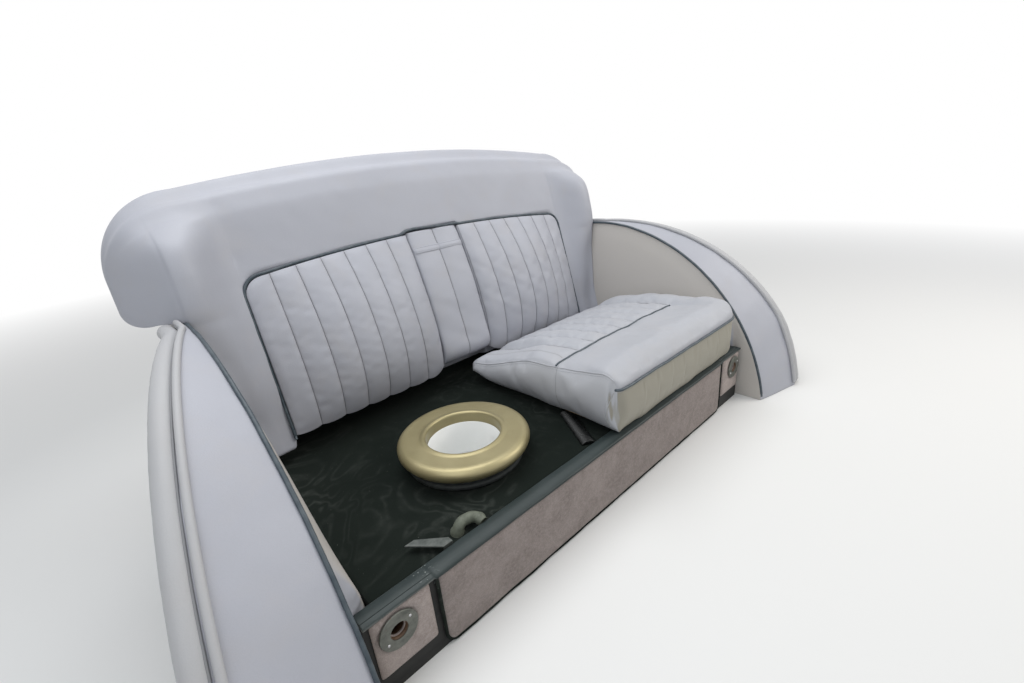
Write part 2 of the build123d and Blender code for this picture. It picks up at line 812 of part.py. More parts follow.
def arch_skin(inset):
    """Points of an arch cover's skin at a depth below its face: x outwards, r from the arch's centre."""
    wall = arch_gap_half + arch_wall_gap + inset
    edge_x = arch_gap_half + arch_round + inset / 2
    reach = arch_outer_front + arch_thick

    def radius(x):
        return arch_radius - inset + arch_flare * (x - arch_gap_half - arch_round)

    start = (wall, arch_radius - arch_round_start - 0.4 * inset)
    middle = (
        arch_gap_half + arch_wall_gap + arch_shoulder + 0.8 * inset,
        arch_radius - arch_shoulder_drop - 0.75 * inset,
    )
    return (wall, arch_bore), start, middle, (edge_x, radius(edge_x)), (reach, radius(reach))


def arch_layer(inset, thick):
    """One layer of an arch cover, turned about the arch's centre."""
    foot, start, middle, edge, end = arch_skin(inset)
    inner_foot, inner_start, inner_middle, inner_edge, inner_end = arch_skin(inset + thick)
    lines = [
        Line(foot, start),
        ThreePointArc(start, middle, edge),
        Line(edge, end),
        Line(end, inner_end),
        Line(inner_end, inner_edge),
        ThreePointArc(inner_edge, inner_middle, inner_start),
        Line(inner_start, inner_foot),
        Line(inner_foot, foot),
    ]
    return arch_turn(make_face(lines))


def arch_turn(section):
    plane = Plane(origin=(0, arch_y, arch_z), x_dir=(1, 0, 0), z_dir=(0, -1, 0))
    return revolve(plane * section, Axis((0, arch_y, arch_z), (1, 0, 0)))


def arch_limits(foot):
    """Plan of what an arch cover fills, from its foot up, with room for the rail's end."""
    inner = arch_gap_half - rail_lap
    plan = Polyline(
        (inner, arch_rear),
        (arch_outer_rear, arch_rear),
        (arch_outer_rear, arch_flare_rear),
        (arch_outer_front, arch_flare_front),
        (arch_outer_front, arch_front),
        (inner, arch_front),
        close=True,
    )
    space = extrude(Pos(0, 0, foot) * make_face(plan), beyond)
    notch = box(inner, rail_half + 1, -beyond, rail_rear + 1, -beyond, rail_top + 1)
    return space - notch


def arch_cover():
    """Padded cover of one wheel arch."""
    cover = arch_layer(0, arch_thick) & arch_limits(0)
    return cover - arch_piping_ring(piping_radius + touch)


def arch_shell_panel():
    """Pressed shell that carries the cover, just clear of the floor."""
    return arch_layer(arch_thick + touch, arch_shell) & arch_limits(arch_shell_foot)


def arch_piping_ring(radius):
    return arch_turn(Pos(arch_gap_half + arch_round, arch_radius + 1.0) * Circle(radius))


def arch_piping():
    """Dark piping along the arch cover's shoulder."""
    return arch_piping_ring(piping_radius) & arch_limits(2 * piping_radius)


os.makedirs("parts", exist_ok=True)

solids = {
    "side_board_left": mirrored(side_board()),
    "side_board_right": side_board(),
    "front_bearer": bearer(heel_rear + bearer_width / 2, board_outer),
    "rear_bearer": bearer(0, board_outer - board_thick),
    "deck_joists": joists(),
    "deck_panel": deck_panel(),
    "deck_felt": deck_layer(rail_rear, felt_base, deck_top),
    "front_rail": rail(),
    "heelboard": heelboard(),
    "heel_carpet": heel_carpet(),
    "end_carpet_left": end_carpet(-1),
    "end_carpet_right": end_carpet(1),
    "vent_disc_left": vent_disc(-1),
    "vent_disc_right": vent_disc(1),
    "commode_bowl": bowl(),
    "commode_gasket": gasket(),
    "commode_ring": commode_ring(),
    "deck_lever": lever(),
    "drain_elbow": elbow(),
    "ribbed_strap": ribbed_strap(),
    "back_board": back_board(),
    "back_post_left": mirrored(back_post()),
    "back_post_right": back_post(),
    "back_pad": back_pad(),
    "squab_left": mirrored(squab()),
    "squab_right": squab(),
    "squab_piping": squab_piping(),
    "armrest_bracket_left": mirrored(armrest_bracket()),
    "armrest_bracket_right": armrest_bracket(),
    "armrest_pin": armrest_pin(),
    "armrest_tube": armrest_tube(),
    "armrest_pad": armrest_pad(),
    "armrest_band": armrest_band(),
    "cushion_pad": cushion_pad(),
    "cushion_board": cushion_board(),
    "arch_cover_left": mirrored(arch_cover()),
    "arch_cover_right": arch_cover(),
    "arch_shell_left": mirrored(arch_shell_panel()),
    "arch_shell_right": arch_shell_panel(),
    "arch_piping_left": mirrored(arch_piping()),
    "arch_piping_right": arch_piping(),
}

for name, solid in solids.items():
    export_step(solid, f"parts/{name}.step")
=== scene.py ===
import math

import bmesh
import bpy
import numpy as np
from mathutils import Matrix, Vector


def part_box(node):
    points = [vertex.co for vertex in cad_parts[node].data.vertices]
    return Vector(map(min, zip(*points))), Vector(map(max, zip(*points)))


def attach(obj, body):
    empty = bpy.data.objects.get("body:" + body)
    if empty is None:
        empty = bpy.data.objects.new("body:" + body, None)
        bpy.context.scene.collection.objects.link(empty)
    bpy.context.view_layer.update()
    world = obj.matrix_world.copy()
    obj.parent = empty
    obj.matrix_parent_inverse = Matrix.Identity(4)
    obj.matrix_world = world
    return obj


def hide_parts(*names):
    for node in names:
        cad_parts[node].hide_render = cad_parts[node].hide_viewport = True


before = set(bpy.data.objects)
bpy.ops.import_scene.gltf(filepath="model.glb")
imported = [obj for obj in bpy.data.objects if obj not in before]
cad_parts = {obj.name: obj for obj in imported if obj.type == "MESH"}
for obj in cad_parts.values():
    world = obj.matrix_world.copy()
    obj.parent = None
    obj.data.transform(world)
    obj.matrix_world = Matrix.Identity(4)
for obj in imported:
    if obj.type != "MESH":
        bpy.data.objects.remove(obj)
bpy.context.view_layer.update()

# Rear bench seat of an old limousine. Metres, in the frame of the CAD part.

# Camera, fitted to the photograph
EYE = (-0.8262, -1.1489, 0.8284)
YAW = math.radians(41.53)       # from +Y towards +X
PITCH = math.radians(-21.28)
ROLL = math.radians(-5.38)
LENS = 16.71
SENSOR = 36.0

# Backrest
LEAN = math.radians(14.35)
FOOT_Z = 0.227                  # height of the squabs' foot line
BACK_TOP = 0.863
BACK_DROP = 0.034               # of the top line at BACK_DROP_HALF
BACK_DROP_HALF = 0.550
BACK_HALF = 0.785
BACK_CORNER = 0.170
PAD_DEPTH = 0.120
PAD_FOOT = 0.195
STEP_X = 0.690                  # where the back's ends start, over the arch covers
PAD_SIDE_X = 0.6495             # of the back's sides at the deck
NARROW_X = 0.585                # from where the back narrows to them
EAR_ROUND = 0.045               # radius of the ends' lower corners
TOP_RISE = 0.004                # of the armrest's recess above the squabs

# Squabs and armrest
SQUAB_IN = 0.095
SQUAB_HALF = 0.5575
SQUAB_TOP = 0.430
SQUAB_SAG = 0.034
SQUAB_CORNER = 0.050
SQUAB_DEPTH = 0.020
FLUTES = 7
PITCH_X = (SQUAB_HALF - SQUAB_IN) / FLUTES
CROWN_PLACE = 0.165
CROWN_HEIGHT = 0.062
CROWN_EDGE = 0.014
CROWN_INNER = 0.040
PIPING = 0.004
ARM_HALF = 0.090
ARM_THICK = 0.090
ARM_FRONT = 0.030
PIN_ALONG = 0.064
PIN_DEPTH = ARM_FRONT - ARM_THICK / 2
BAND = (0.362, 0.382)
ARM_ROOM = 0.005                # between the armrest and the bottom of its recess

# Loose cushion
CUSHION_X = (-0.010, 0.640)
CUSHION_REAR = (-0.017, 0.200)  # y and z
CUSHION_TOP = ((-0.051, 0.250), (-0.385, 0.320), (-0.528, 0.341), (-0.577, 0.302))
CUSHION_BASE = 0.1785
SEAM_Y = -0.385                 # where the flutes end and the plain front starts
FRONT_Y = CUSHION_TOP[-1][0]
CORNER_NEAR = 0.018             # radius of the front corner at the seat's middle
CORNER_FAR = 0.055

# Wheel-arch covers
ARCH_Y = -0.012
ARCH_Z = -0.090
ARCH_R = 0.648
ARCH_FLARE = 0.257
ARCH_PIPING_X = 0.692
ARCH_WALL = 0.6505              # at the deck; from there the wall leans out to the piping
ARCH_THICK = 0.020
ARCH_CUT_X = 0.689              # of the cover's inner side beside the rail and in front of it
ARCH_BORE = 0.170
ARCH_REAR = 0.150
ARCH_OUTER = ((0.712, -0.030), (0.868, -0.620))     # outer edge: x and y
SEAL = 0.0185                   # radius of the door seal along it
SIDES = {-1: "left", 1: "right"}
SWELL_FRAMES = 20               # length of each cloth simulation
SMOOTHING = 0.6                 # share of the neighbours' mean when the back's face is rounded off

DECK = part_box("deck_felt")[1].z
RAIL_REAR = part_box("front_rail")[1].y
RAIL_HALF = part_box("front_rail")[1].x
RAIL_STEP = 0.545               # where the rail's thin ends start
RAIL_LIP = 0.170                # height of its front lip's lower edge
RAIL_CREST_Y = -0.5589          # where the rail's top starts to fall to its lip


def mix(a, b, t):
    return a + (b - a) * t


def smooth_step(t):
    t = np.clip(t, 0, 1)
    return t * t * (3 - 2 * t)


def smooth_min(a, b, width):
    h = np.clip(0.5 + 0.5 * (b - a) / width, 0, 1)
    return b + (a - b) * h - width * h * (1 - h)


def lean_points(x, s, n):
    """Points from places across, up the back and out of its face."""
    x, s, n = np.broadcast_arrays(np.asarray(x, float), s, n)
    y = s * math.sin(LEAN) - n * math.cos(LEAN)
    z = FOOT_Z + s * math.cos(LEAN) + n * math.sin(LEAN)
    return np.stack([x, y, z], -1)


def ripples(points, size, seed, octaves=3):
    """Smooth seeded noise, about -1 to 1, with features of the given size."""
    rng = np.random.default_rng(seed)
    total = np.zeros(points.shape[:-1])
    weight = 0
    for octave in range(octaves):
        for _ in range(5):
            d = rng.normal(size=3)
            d *= math.tau / size * 2 ** octave * rng.uniform(0.7, 1.3) / np.linalg.norm(d)
            total += 0.5 ** octave * np.sin(points @ d + rng.uniform(0, math.tau))
        weight += 0.5 ** octave
    return total / (weight * 2.2)


def tangent_arc(start, end, direction, count):
    """Points of the arc that leaves start in a direction and reaches end, and its end direction."""
    start, end = np.array(start, float), np.array(end, float)
    d = np.array(direction, float) / np.linalg.norm(direction)
    chord = end - start
    side = np.array([-d[1], d[0]])
    across = chord @ side
    radius = chord @ chord / (2 * across)
    centre = start + side * radius
    turn = 2 * math.atan2(across, chord @ d)
    angles = np.linspace(0, turn, count)
    spoke = start - centre
    c, s = np.cos(angles), np.sin(angles)
    points = centre + np.stack([c * spoke[0] - s * spoke[1], s * spoke[0] + c * spoke[1]], -1)
    c, s = math.cos(turn), math.sin(turn)
    return points, np.array([c * d[0] - s * d[1], s * d[0] + c * d[1]])


def add_object(name, mesh):
    obj = bpy.data.objects.new(name, mesh)
    bpy.context.scene.collection.objects.link(obj)
    return obj


def make_piece(name, points, faces, merge=2e-5):
    """Mesh object from points and faces, with doubles merged and normals outward."""
    mesh = bpy.data.meshes.new(name)
    mesh.from_pydata(np.asarray(points, float).reshape(-1, 3).tolist(), [], faces)
    work = bmesh.new()
    work.from_mesh(mesh)
    bmesh.ops.remove_doubles(work, verts=work.verts, dist=merge)
    bmesh.ops.dissolve_degenerate(work, edges=work.edges, dist=merge / 2)
    bmesh.ops.recalc_face_normals(work, faces=work.faces)
    work.to_mesh(mesh)
    work.free()
    mesh.shade_smooth()
    return add_object(name, mesh)


def grid_quads(index):
    quads = np.stack([index[:-1, :-1], index[1:, :-1], index[1:, 1:], index[:-1, 1:]], -1)
    return quads.reshape(-1, 4).tolist()


def shell(name, lattice):
    """Closed surface of a lattice of points, of which only the outer layer counts."""
    outer = np.ones(lattice.shape[:3], bool)
    outer[1:-1, 1:-1, 1:-1] = False
    index = np.full(lattice.shape[:3], -1)
    index[outer] = np.arange(outer.sum())
    faces = []
    for axis in range(3):
        first = grid_quads(np.take(index, 0, axis))
        last = grid_quads(np.take(index, -1, axis))
        flip = [q[::-1] for q in (first if axis != 1 else last)]
        faces += flip + (last if axis != 1 else first)
    return make_piece(name, lattice[outer], faces)


def tube(name, path, radius, sides=12):
    """Round bar along a path of points. Its start is domed, and its end is tucked into its dome."""
    path = np.asarray(path, float)
    radii = np.broadcast_to(np.asarray(radius, float), len(path))
    ahead = np.roll(path, -1, 0) - np.roll(path, 1, 0)
    ahead[0] = path[1] - path[0]
    ahead[-1] = path[-1] - path[-2]
    ahead /= np.linalg.norm(ahead, axis=1)[:, None]
    side = np.cross(ahead[0], (0.31, 0.17, 0.93))
    side /= np.linalg.norm(side)
    angles = np.linspace(0, math.tau, sides, endpoint=False)
    rings = []
    for p, d, r in zip(path, ahead, radii):
        side = side - d * (side @ d)
        side /= np.linalg.norm(side)
        up = np.cross(d, side)
        rings.append(p + r * (np.cos(angles)[:, None] * side + np.sin(angles)[:, None] * up))
    first = path[0] + (rings[0] - path[0]) * 0.62 - ahead[0] * radii[0] * 0.72
    last = path[-1] + (rings[-1] - path[-1]) * 0.62 + ahead[-1] * radii[-1] * 0.72
    rings = np.array([first, *rings[:-1], last, rings[-1]])
    index = np.arange(rings.shape[0] * sides).reshape(-1, sides)
    index = np.hstack([index, index[:, :1]])
    faces = grid_quads(index) + [index[0, :-1].tolist(), index[-1, :-1].tolist()]
    return make_piece(name, rings, faces)


def join_tubes(name, paths, radius, sides=6):
    """Many short bars as one mesh."""
    points, faces, base = [], [], 0
    for path in paths:
        part = tube("part", path, radius, sides)
        p = points_of(part)
        faces += [[base + i for i in f.vertices] for f in part.data.polygons]
        points.append(p)
        base += len(p)
        discard(part)
    return make_piece(name, np.concatenate(points), faces, merge=1e-7)


def arc(x, z, radius, start, end, count):
    """Points of an arc in an outline."""
    return [(x + radius * math.cos(a), z + radius * math.sin(a)) for a in np.linspace(start, end, count)]


def lathe(name, profile, centre, steps=128):
    """Closed outline of radius and height, turned about an upright axis."""
    profile = np.asarray(profile, float)
    angles = np.linspace(0, math.tau, steps, endpoint=False)
    r, z = profile[:, 0], profile[:, 1]
    points = np.stack([
        centre[0] + np.cos(angles)[:, None] * r,
        centre[1] + np.sin(angles)[:, None] * r,
        np.broadcast_to(z, (steps, len(z))),
    ], -1)
    index = np.arange(steps * len(z)).reshape(steps, -1)
    index = np.vstack([index, index[:1]])
    index = np.hstack([index, index[:, :1]])
    return make_piece(name, points, grid_quads(index))


def discard(obj):
    mesh = obj.data
    bpy.data.objects.remove(obj)
    bpy.data.meshes.remove(mesh)


def middle_of(node):
    low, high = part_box(node)
    return [(a + b) / 2 for a, b in zip(low, high)]


def points_of(obj):
    out = np.empty(len(obj.data.vertices) * 3, np.float32)
    obj.data.vertices.foreach_get("co", out)
    return out.reshape(-1, 3).astype(float)


def set_points(obj, points):
    obj.data.vertices.foreach_set("co", points.astype(np.float32).ravel())
    obj.data.update()


def apply_modifiers(obj):
    graph = bpy.context.evaluated_depsgraph_get()
    mesh = bpy.data.meshes.new_from_object(obj.evaluated_get(graph))
    obj.modifiers.clear()
    obj.data = mesh
    mesh.shade_smooth()


def subdivide(obj):
    modifier = obj.modifiers.new("Subdivision", "SUBSURF")
    modifier.levels = 1
    modifier.render_levels = 1
    apply_modifiers(obj)


def swell(obj, pinned, pressure, cap, slack, stiff):
    """Simulates the cover as cloth under light pressure. Pinned points stay, and none moves past cap."""
    start = points_of(obj)
    group = obj.vertex_groups.new(name="pin")
    group.add(np.nonzero(pinned)[0].tolist(), 1.0, "REPLACE")
    cloth = obj.modifiers.new("Cloth", "CLOTH")
    settings = cloth.settings
    settings.quality = 5
    settings.mass = 0.25
    settings.tension_stiffness = 12
    settings.compression_stiffness = 12
    settings.shear_stiffness = 4
    settings.bending_stiffness = stiff
    settings.use_pressure = True
    settings.uniform_pressure_force = pressure
    settings.vertex_group_mass = "pin"
    settings.shrink_min = -slack
    settings.effector_weights.gravity = 0
    cloth.collision_settings.use_collision = False
    scene = bpy.context.scene
    for f in range(1, SWELL_FRAMES + 1):
        scene.frame_set(f)
    graph = bpy.context.evaluated_depsgraph_get()
    end = points_of(obj.evaluated_get(graph))
    obj.modifiers.clear()
    obj.vertex_groups.clear()
    move = end - start
    length = np.linalg.norm(move, axis=1)[:, None] + 1e-9
    set_points(obj, start + move / length * cap * np.tanh(length / cap))
    scene.frame_set(1)


def fit(piece, body, slot, material, *nodes, fill=None):
    """Gives a piece its material, its body and the CAD nodes that it stands for."""
    piece.data.materials.clear()
    piece.data.materials.append(material)
    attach(piece, body)
    if nodes:
        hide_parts(*nodes)


class Shader:
    """Small helper to write node materials."""

    def __init__(self, name, rough, specular=0.4, metallic=0.0, sheen=0.0, coat=0.0, coat_rough=0.2):
        self.material = bpy.data.materials.new(name)
        self.material.use_nodes = True
        self.tree = self.material.node_tree
        self.surface = self.tree.nodes["Principled BSDF"]
        looks = {
            "Roughness": rough, "Specular IOR Level": specular, "Metallic": metallic,
            "Sheen Weight": sheen, "Coat Weight": coat, "Coat Roughness": coat_rough,
        }
        for key, value in looks.items():
            self.surface.inputs[key].default_value = value
        self.place = self.node("ShaderNodeTexCoord").outputs["Object"]
        self.normal = None

    def feed(self, socket, value):
        """Links a socket to another, or sets its constant."""
        if isinstance(value, bpy.types.NodeSocket):
            self.tree.links.new(value, socket)
        elif socket.type == "RGBA":
            socket.default_value = (*value, 1.0)
        else:
            socket.default_value = value

    def node(self, kind, **inputs):
        node = self.tree.nodes.new(kind)
        for key, value in inputs.items():
            self.feed(node.inputs[key.replace("_", " ")], value)
        return node

    def axes(self, vector):
        return self.node("ShaderNodeSeparateXYZ", Vector=vector).outputs

    def scaled(self, scale):
        node = self.node("ShaderNodeMapping", Vector=self.place, Scale=scale)
        return node.outputs["Vector"]

    def noise(self, scale, detail=3.0, rough=0.5, distortion=0.0, vector=None):
        node = self.node("ShaderNodeTexNoise", Vector=vector or self.place, Scale=scale, Detail=detail,
                         Roughness=rough, Distortion=distortion)
        return node.outputs["Fac"]

    def cells(self, scale, feature="F1", vector=None):
        node = self.node("ShaderNodeTexVoronoi", Vector=vector or self.place, Scale=scale)
        node.feature = feature
        return node.outputs["Distance"]

    def ramp(self, value, low, high, to_low=0.0, to_high=1.0):
        node = self.node("ShaderNodeMapRange", Value=value, From_Min=low, From_Max=high, To_Min=to_low,
                         To_Max=to_high)
        return node.outputs["Result"]

    def math(self, kind, a, b=0.0):
        node = self.tree.nodes.new("ShaderNodeMath")
        node.operation = kind
        self.feed(node.inputs[0], a)
        self.feed(node.inputs[1], b)
        return node.outputs["Value"]

    def times(self, a, b):
        return self.math("MULTIPLY", a, b)

    def apart(self, a, b):
        """How far two values are apart."""
        return self.math("ABSOLUTE", self.math("SUBTRACT", a, b))

    def blend(self, factor, a, b):
        node = self.tree.nodes.new("ShaderNodeMix")
        node.data_type = "RGBA"
        colours = [s for s in node.inputs if s.type == "RGBA"]
        for socket, value in zip((node.inputs["Factor"], *colours), (factor, a, b)):
            self.feed(socket, value)
        return [s for s in node.outputs if s.type == "RGBA"][0]

    def colour(self, value):
        self.tree.links.new(value, self.surface.inputs["Base Color"])

    def roughness(self, value):
        self.tree.links.new(value, self.surface.inputs["Roughness"])

    def bump(self, height, distance, strength=1.0):
        node = self.node("ShaderNodeBump", Height=height, Distance=distance, Strength=strength)
        if self.normal is not None:
            self.tree.links.new(self.normal, node.inputs["Normal"])
        self.normal = node.outputs["Normal"]
        self.tree.links.new(self.normal, self.surface.inputs["Normal"])


def leather(name="leather", first=None, pitch=1.0, until=None, inner=None, tone=(0.428, 0.438, 0.486),
            warm=(0.455, 0.438, 0.438)):
    """Soft grained upholstery leather: fine pebbles, faint creases, and warmer where it is worn.

    Where first is given, sewn creases run up it: the first at that distance from the middle, the
    next at each pitch. Each is a thin dark line of painted shade, in a wider darker band that is
    partly dirt and partly painted shade. They stop short of the place until along Y, where a plain
    border starts, and the face in front of that is a darker beige, partly the leather's own beige
    and partly painted shade. The tone inner is painted light: a lighter copy of the leather for the
    faces that look across the car.
    """
    s = Shader(name, rough=0.5, specular=0.36)
    broad = s.noise(2.6, detail=4, rough=0.55)
    patches = s.noise(11.0, detail=5, rough=0.6, distortion=0.4)
    base = s.blend(s.ramp(broad, 0.35, 0.7), tone, tuple(c * 0.92 for c in tone))
    base = s.blend(s.ramp(patches, 0.5, 0.75, 0.0, 0.30), base, warm)
    pebbles = s.cells(520.0, "F1")
    base = s.blend(s.ramp(pebbles, 0.2, 0.9, 0.0, 0.10), base, tuple(c * 0.72 for c in tone))
    split = s.axes(s.place)
    facing = s.axes(s.node("ShaderNodeTexCoord").outputs["Normal"])
    if inner is not None:
        # painted light: faces that look across the car get the lighter inner tone
        painted_side_light = s.math("ABSOLUTE", facing["X"])
        base = s.blend(s.ramp(painted_side_light, 0.70, 0.92), base, inner)
    if first is not None:
        away = s.math("ABSOLUTE", split["X"])
        turns = s.math("DIVIDE", s.math("SUBTRACT", away, first - pitch / 2), pitch)
        near = s.times(s.apart(s.math("FRACT", turns), 0.5), pitch)
        # painted shade: a thin dark line along each crease
        line = s.ramp(near, 0.0003, 0.0010, 1.0, 0.0)
        # a wider darker band beside each crease, partly dirt and partly painted shade
        dirt_and_shade = s.ramp(near, 0.0, 0.007, 0.18, 0.0)
        if until is not None:
            # the front face below the border is a darker beige: partly the leather's own beige, partly
            # painted shade
            low = s.ramp(split["Z"], 0.294, 0.301, 1.0, 0.0)
            front = s.times(s.ramp(facing["Y"], -0.80, -0.60, 1.0, 0.0), low)
            base = s.blend(front, base, (0.310, 0.293, 0.243))
            sewn = s.ramp(s.apart(split["Y"], until - 0.009), 0.0004, 0.0011, 0.5, 0.0)
            sewn = s.times(sewn, s.ramp(split["X"], -0.004, 0.0, 1.0, 0.0))
            base = s.blend(sewn, base, (0.10, 0.10, 0.105))
            stop = s.ramp(split["Y"], until, until + 0.012)
            line = s.times(line, stop)
            dirt_and_shade = s.times(dirt_and_shade, stop)
        base = s.blend(dirt_and_shade, base, tuple(c * 0.66 for c in warm))
        base = s.blend(s.times(line, 0.60), base, (0.130, 0.128, 0.138))
        s.bump(s.times(line, -1.0), 0.0015, 0.6)
    s.colour(base)
    creases = s.noise(46.0, detail=6, rough=0.62, distortion=1.2, vector=s.scaled((1.0, 1.0, 0.55)))
    s.bump(creases, 0.0016, 0.14)
    s.bump(pebbles, 0.0005, 0.22)
    s.roughness(s.ramp(patches, 0.3, 0.8, 0.44, 0.60))
    return s.material


def piping_leather():
    s = Shader("piping", rough=0.42, specular=0.45)
    tone = s.noise(60.0, detail=4)
    s.colour(s.blend(s.ramp(tone, 0.35, 0.75), (0.036, 0.052, 0.066), (0.085, 0.105, 0.120)))
    s.bump(s.cells(700.0), 0.0003, 0.25)
    return s.material


def felt_cloth():
    """Thin black felt, with thin curved marks where it was wiped, and a little lint."""
    s = Shader("felt", rough=0.96, specular=0.08, sheen=0.02)
    broad = s.noise(3.2, detail=4, rough=0.55)
    swirl = s.noise(3.6, detail=2, rough=0.5, distortion=2.2)
    marks = s.apart(s.math("FRACT", s.times(swirl, 8.0)), 0.5)
    marks = s.times(s.ramp(marks, 0.0, 0.30, 1.0, 0.0), s.ramp(broad, 0.42, 0.66))
    marks = s.times(marks, s.ramp(s.noise(60.0, detail=5, rough=0.7), 0.30, 0.70, 0.2, 1.0))
    fibres = s.noise(900.0, detail=3, rough=0.7)
    lint = s.noise(330.0, detail=2, rough=0.5)
    base = s.blend(s.ramp(broad, 0.40, 0.65), (0.0075, 0.0110, 0.0090), (0.0125, 0.0165, 0.0140))
    base = s.blend(s.times(marks, 0.85), base, (0.060, 0.066, 0.060))
    base = s.blend(s.ramp(fibres, 0.50, 0.75, 0.0, 0.20), base, (0.036, 0.042, 0.037))
    base = s.blend(s.ramp(lint, 0.755, 0.775, 0.0, 0.8), base, (0.20, 0.20, 0.18))
    s.colour(base)
    s.bump(marks, 0.0008, 0.2)
    s.bump(fibres, 0.0008, 0.5)
    return s.material


def carpet_cloth(name="carpet", level=1.0):
    """Short cut pile, mottled where it is brushed different ways."""
    s = Shader(name, rough=0.97, specular=0.08, sheen=0.12)
    tufts = s.noise(620.0, detail=4, rough=0.75)
    clumps = s.noise(170.0, detail=3, rough=0.6)
    brushed = s.noise(15.0, detail=5, rough=0.6, distortion=1.1)
    tones = ((0.190, 0.162, 0.150), (0.270, 0.232, 0.216), (0.330, 0.285, 0.268), (0.110, 0.093, 0.088))
    low, high, tip, root = [tuple(c * level for c in tone) for tone in tones]
    base = s.blend(s.ramp(brushed, 0.36, 0.66), low, high)
    base = s.blend(s.ramp(clumps, 0.42, 0.66, 0.0, 0.45), base, tip)
    base = s.blend(s.ramp(tufts, 0.36, 0.62, 0.0, 0.50), base, root)
    s.colour(base)
    s.bump(clumps, 0.0022, 0.5)
    s.bump(tufts, 0.0016, 0.8)
    return s.material


def rail_vinyl():
    """Dark vinyl wrap, scuffed, with a painted highlight along its crown, paler patches along the lower
    front edge of its thin ends, and pale chips where it steps down at its ends.
    """
    s = Shader("rail_vinyl", rough=0.46, specular=0.26)
    split = s.axes(s.place)
    away = s.math("ABSOLUTE", split["X"])
    tone = s.noise(9.0, detail=5, rough=0.6)
    scuffs = s.noise(26.0, detail=9, rough=0.82, distortion=0.8, vector=s.scaled((0.5, 2.0, 2.0)))
    base = s.blend(s.ramp(tone, 0.35, 0.7), (0.019, 0.028, 0.028), (0.034, 0.045, 0.045))
    # painted highlight: a lighter band along the crown of the rail's top
    crown = s.ramp(s.apart(split["Y"], -0.566), 0.004, 0.012, 0.5, 0.0)
    base = s.blend(crown, base, (0.058, 0.070, 0.070))
    base = s.blend(s.ramp(scuffs, 0.63, 0.76, 0.0, 0.5), base, (0.110, 0.125, 0.125))
    ends = s.ramp(away, RAIL_STEP - 0.002, RAIL_STEP + 0.002)
    # paler in patches along the lower front edge of the thin ends
    edge = s.times(s.ramp(split["Z"], 0.1715, 0.1740, 1.0, 0.0), s.ramp(scuffs, 0.40, 0.52))
    base = s.blend(s.times(s.times(edge, ends), 0.6), base, (0.20, 0.21, 0.20))
    joint = s.ramp(s.apart(away, RAIL_STEP + 0.008), 0.004, 0.032, 1.0, 0.0)
    chips = s.times(s.ramp(s.noise(240.0, detail=3, rough=0.6), 0.655, 0.68), joint)
    base = s.blend(chips, base, (0.42, 0.45, 0.43))
    s.colour(base)
    s.roughness(s.ramp(scuffs, 0.45, 0.75, 0.42, 0.66))
    s.bump(s.noise(38.0, detail=4, rough=0.5), 0.0012, 0.3)
    s.bump(s.cells(900.0), 0.0002, 0.2)
    return s.material


def gold_paint():
    """Satin gold paint with fine flake and a few dark specks."""
    s = Shader("gold", rough=0.40, specular=0.45, metallic=0.55)
    flake = s.cells(1500.0)
    drift = s.noise(11.0, detail=5, rough=0.55)
    specks = s.noise(210.0, detail=2)
    base = s.blend(s.ramp(drift, 0.35, 0.7), (0.290, 0.248, 0.125), (0.345, 0.300, 0.165))
    base = s.blend(s.ramp(flake, 0.1, 0.8, 0.0, 0.25), base, (0.41, 0.365, 0.22))
    base = s.blend(s.ramp(specks, 0.72, 0.78, 0.0, 0.6), base, (0.20, 0.16, 0.07))
    s.colour(base)
    s.roughness(s.ramp(drift, 0.3, 0.75, 0.30, 0.44))
    s.bump(flake, 0.0002, 0.25)
    s.bump(s.noise(42.0, detail=3), 0.0006, 0.2)
    return s.material


def rubber_black(name="rubber", gloss=0.62, level=1.0):
    s = Shader(name, rough=gloss, specular=0.35)
    tone = s.noise(80.0, detail=5, rough=0.65)
    s.colour(s.blend(s.ramp(tone, 0.35, 0.75), tuple(level * c for c in (0.014, 0.017, 0.017)),
                     tuple(level * c for c in (0.042, 0.047, 0.046))))
    s.roughness(s.ramp(tone, 0.3, 0.8, gloss - 0.10, gloss + 0.12))
    s.bump(s.noise(420.0, detail=4), 0.0004, 0.4)
    return s.material


def bowl_enamel():
    s = Shader("bowl_white", rough=0.16, specular=0.5, coat=0.4, coat_rough=0.08)
    tone = s.noise(7.0, detail=4)
    s.colour(s.blend(s.ramp(tone, 0.3, 0.8), (0.95, 0.955, 0.95), (0.90, 0.915, 0.905)))
    s.bump(s.noise(30.0, detail=2), 0.0006, 0.12)
    return s.material


def dull_metal(name, light, dark, metallic):
    """Bare sheet metal gone dull, with a brushed grain and rust spots."""
    s = Shader(name, rough=0.45, specular=0.45, metallic=metallic)
    grime = s.noise(45.0, detail=7, rough=0.7)
    spots = s.noise(120.0, detail=5, rough=0.7)
    base = s.blend(s.ramp(grime, 0.38, 0.66), light, dark)
    base = s.blend(s.ramp(spots, 0.64, 0.72, 0.0, 0.7), base, (0.17, 0.085, 0.04))
    s.colour(base)
    s.roughness(s.ramp(grime, 0.3, 0.8, 0.34, 0.62))
    s.bump(s.noise(700.0, detail=2, vector=s.scaled((1.0, 0.08, 1.0))), 0.0002, 0.4)
    return s.material


def drain_grey():
    s = Shader("drain_plastic", rough=0.55, specular=0.4)
    dust = s.noise(90.0, detail=6, rough=0.7)
    s.colour(s.blend(s.ramp(dust, 0.35, 0.7), (0.135, 0.150, 0.115), (0.075, 0.086, 0.066)))
    s.roughness(s.ramp(dust, 0.3, 0.8, 0.42, 0.75))
    s.bump(dust, 0.0008, 0.35)
    return s.material


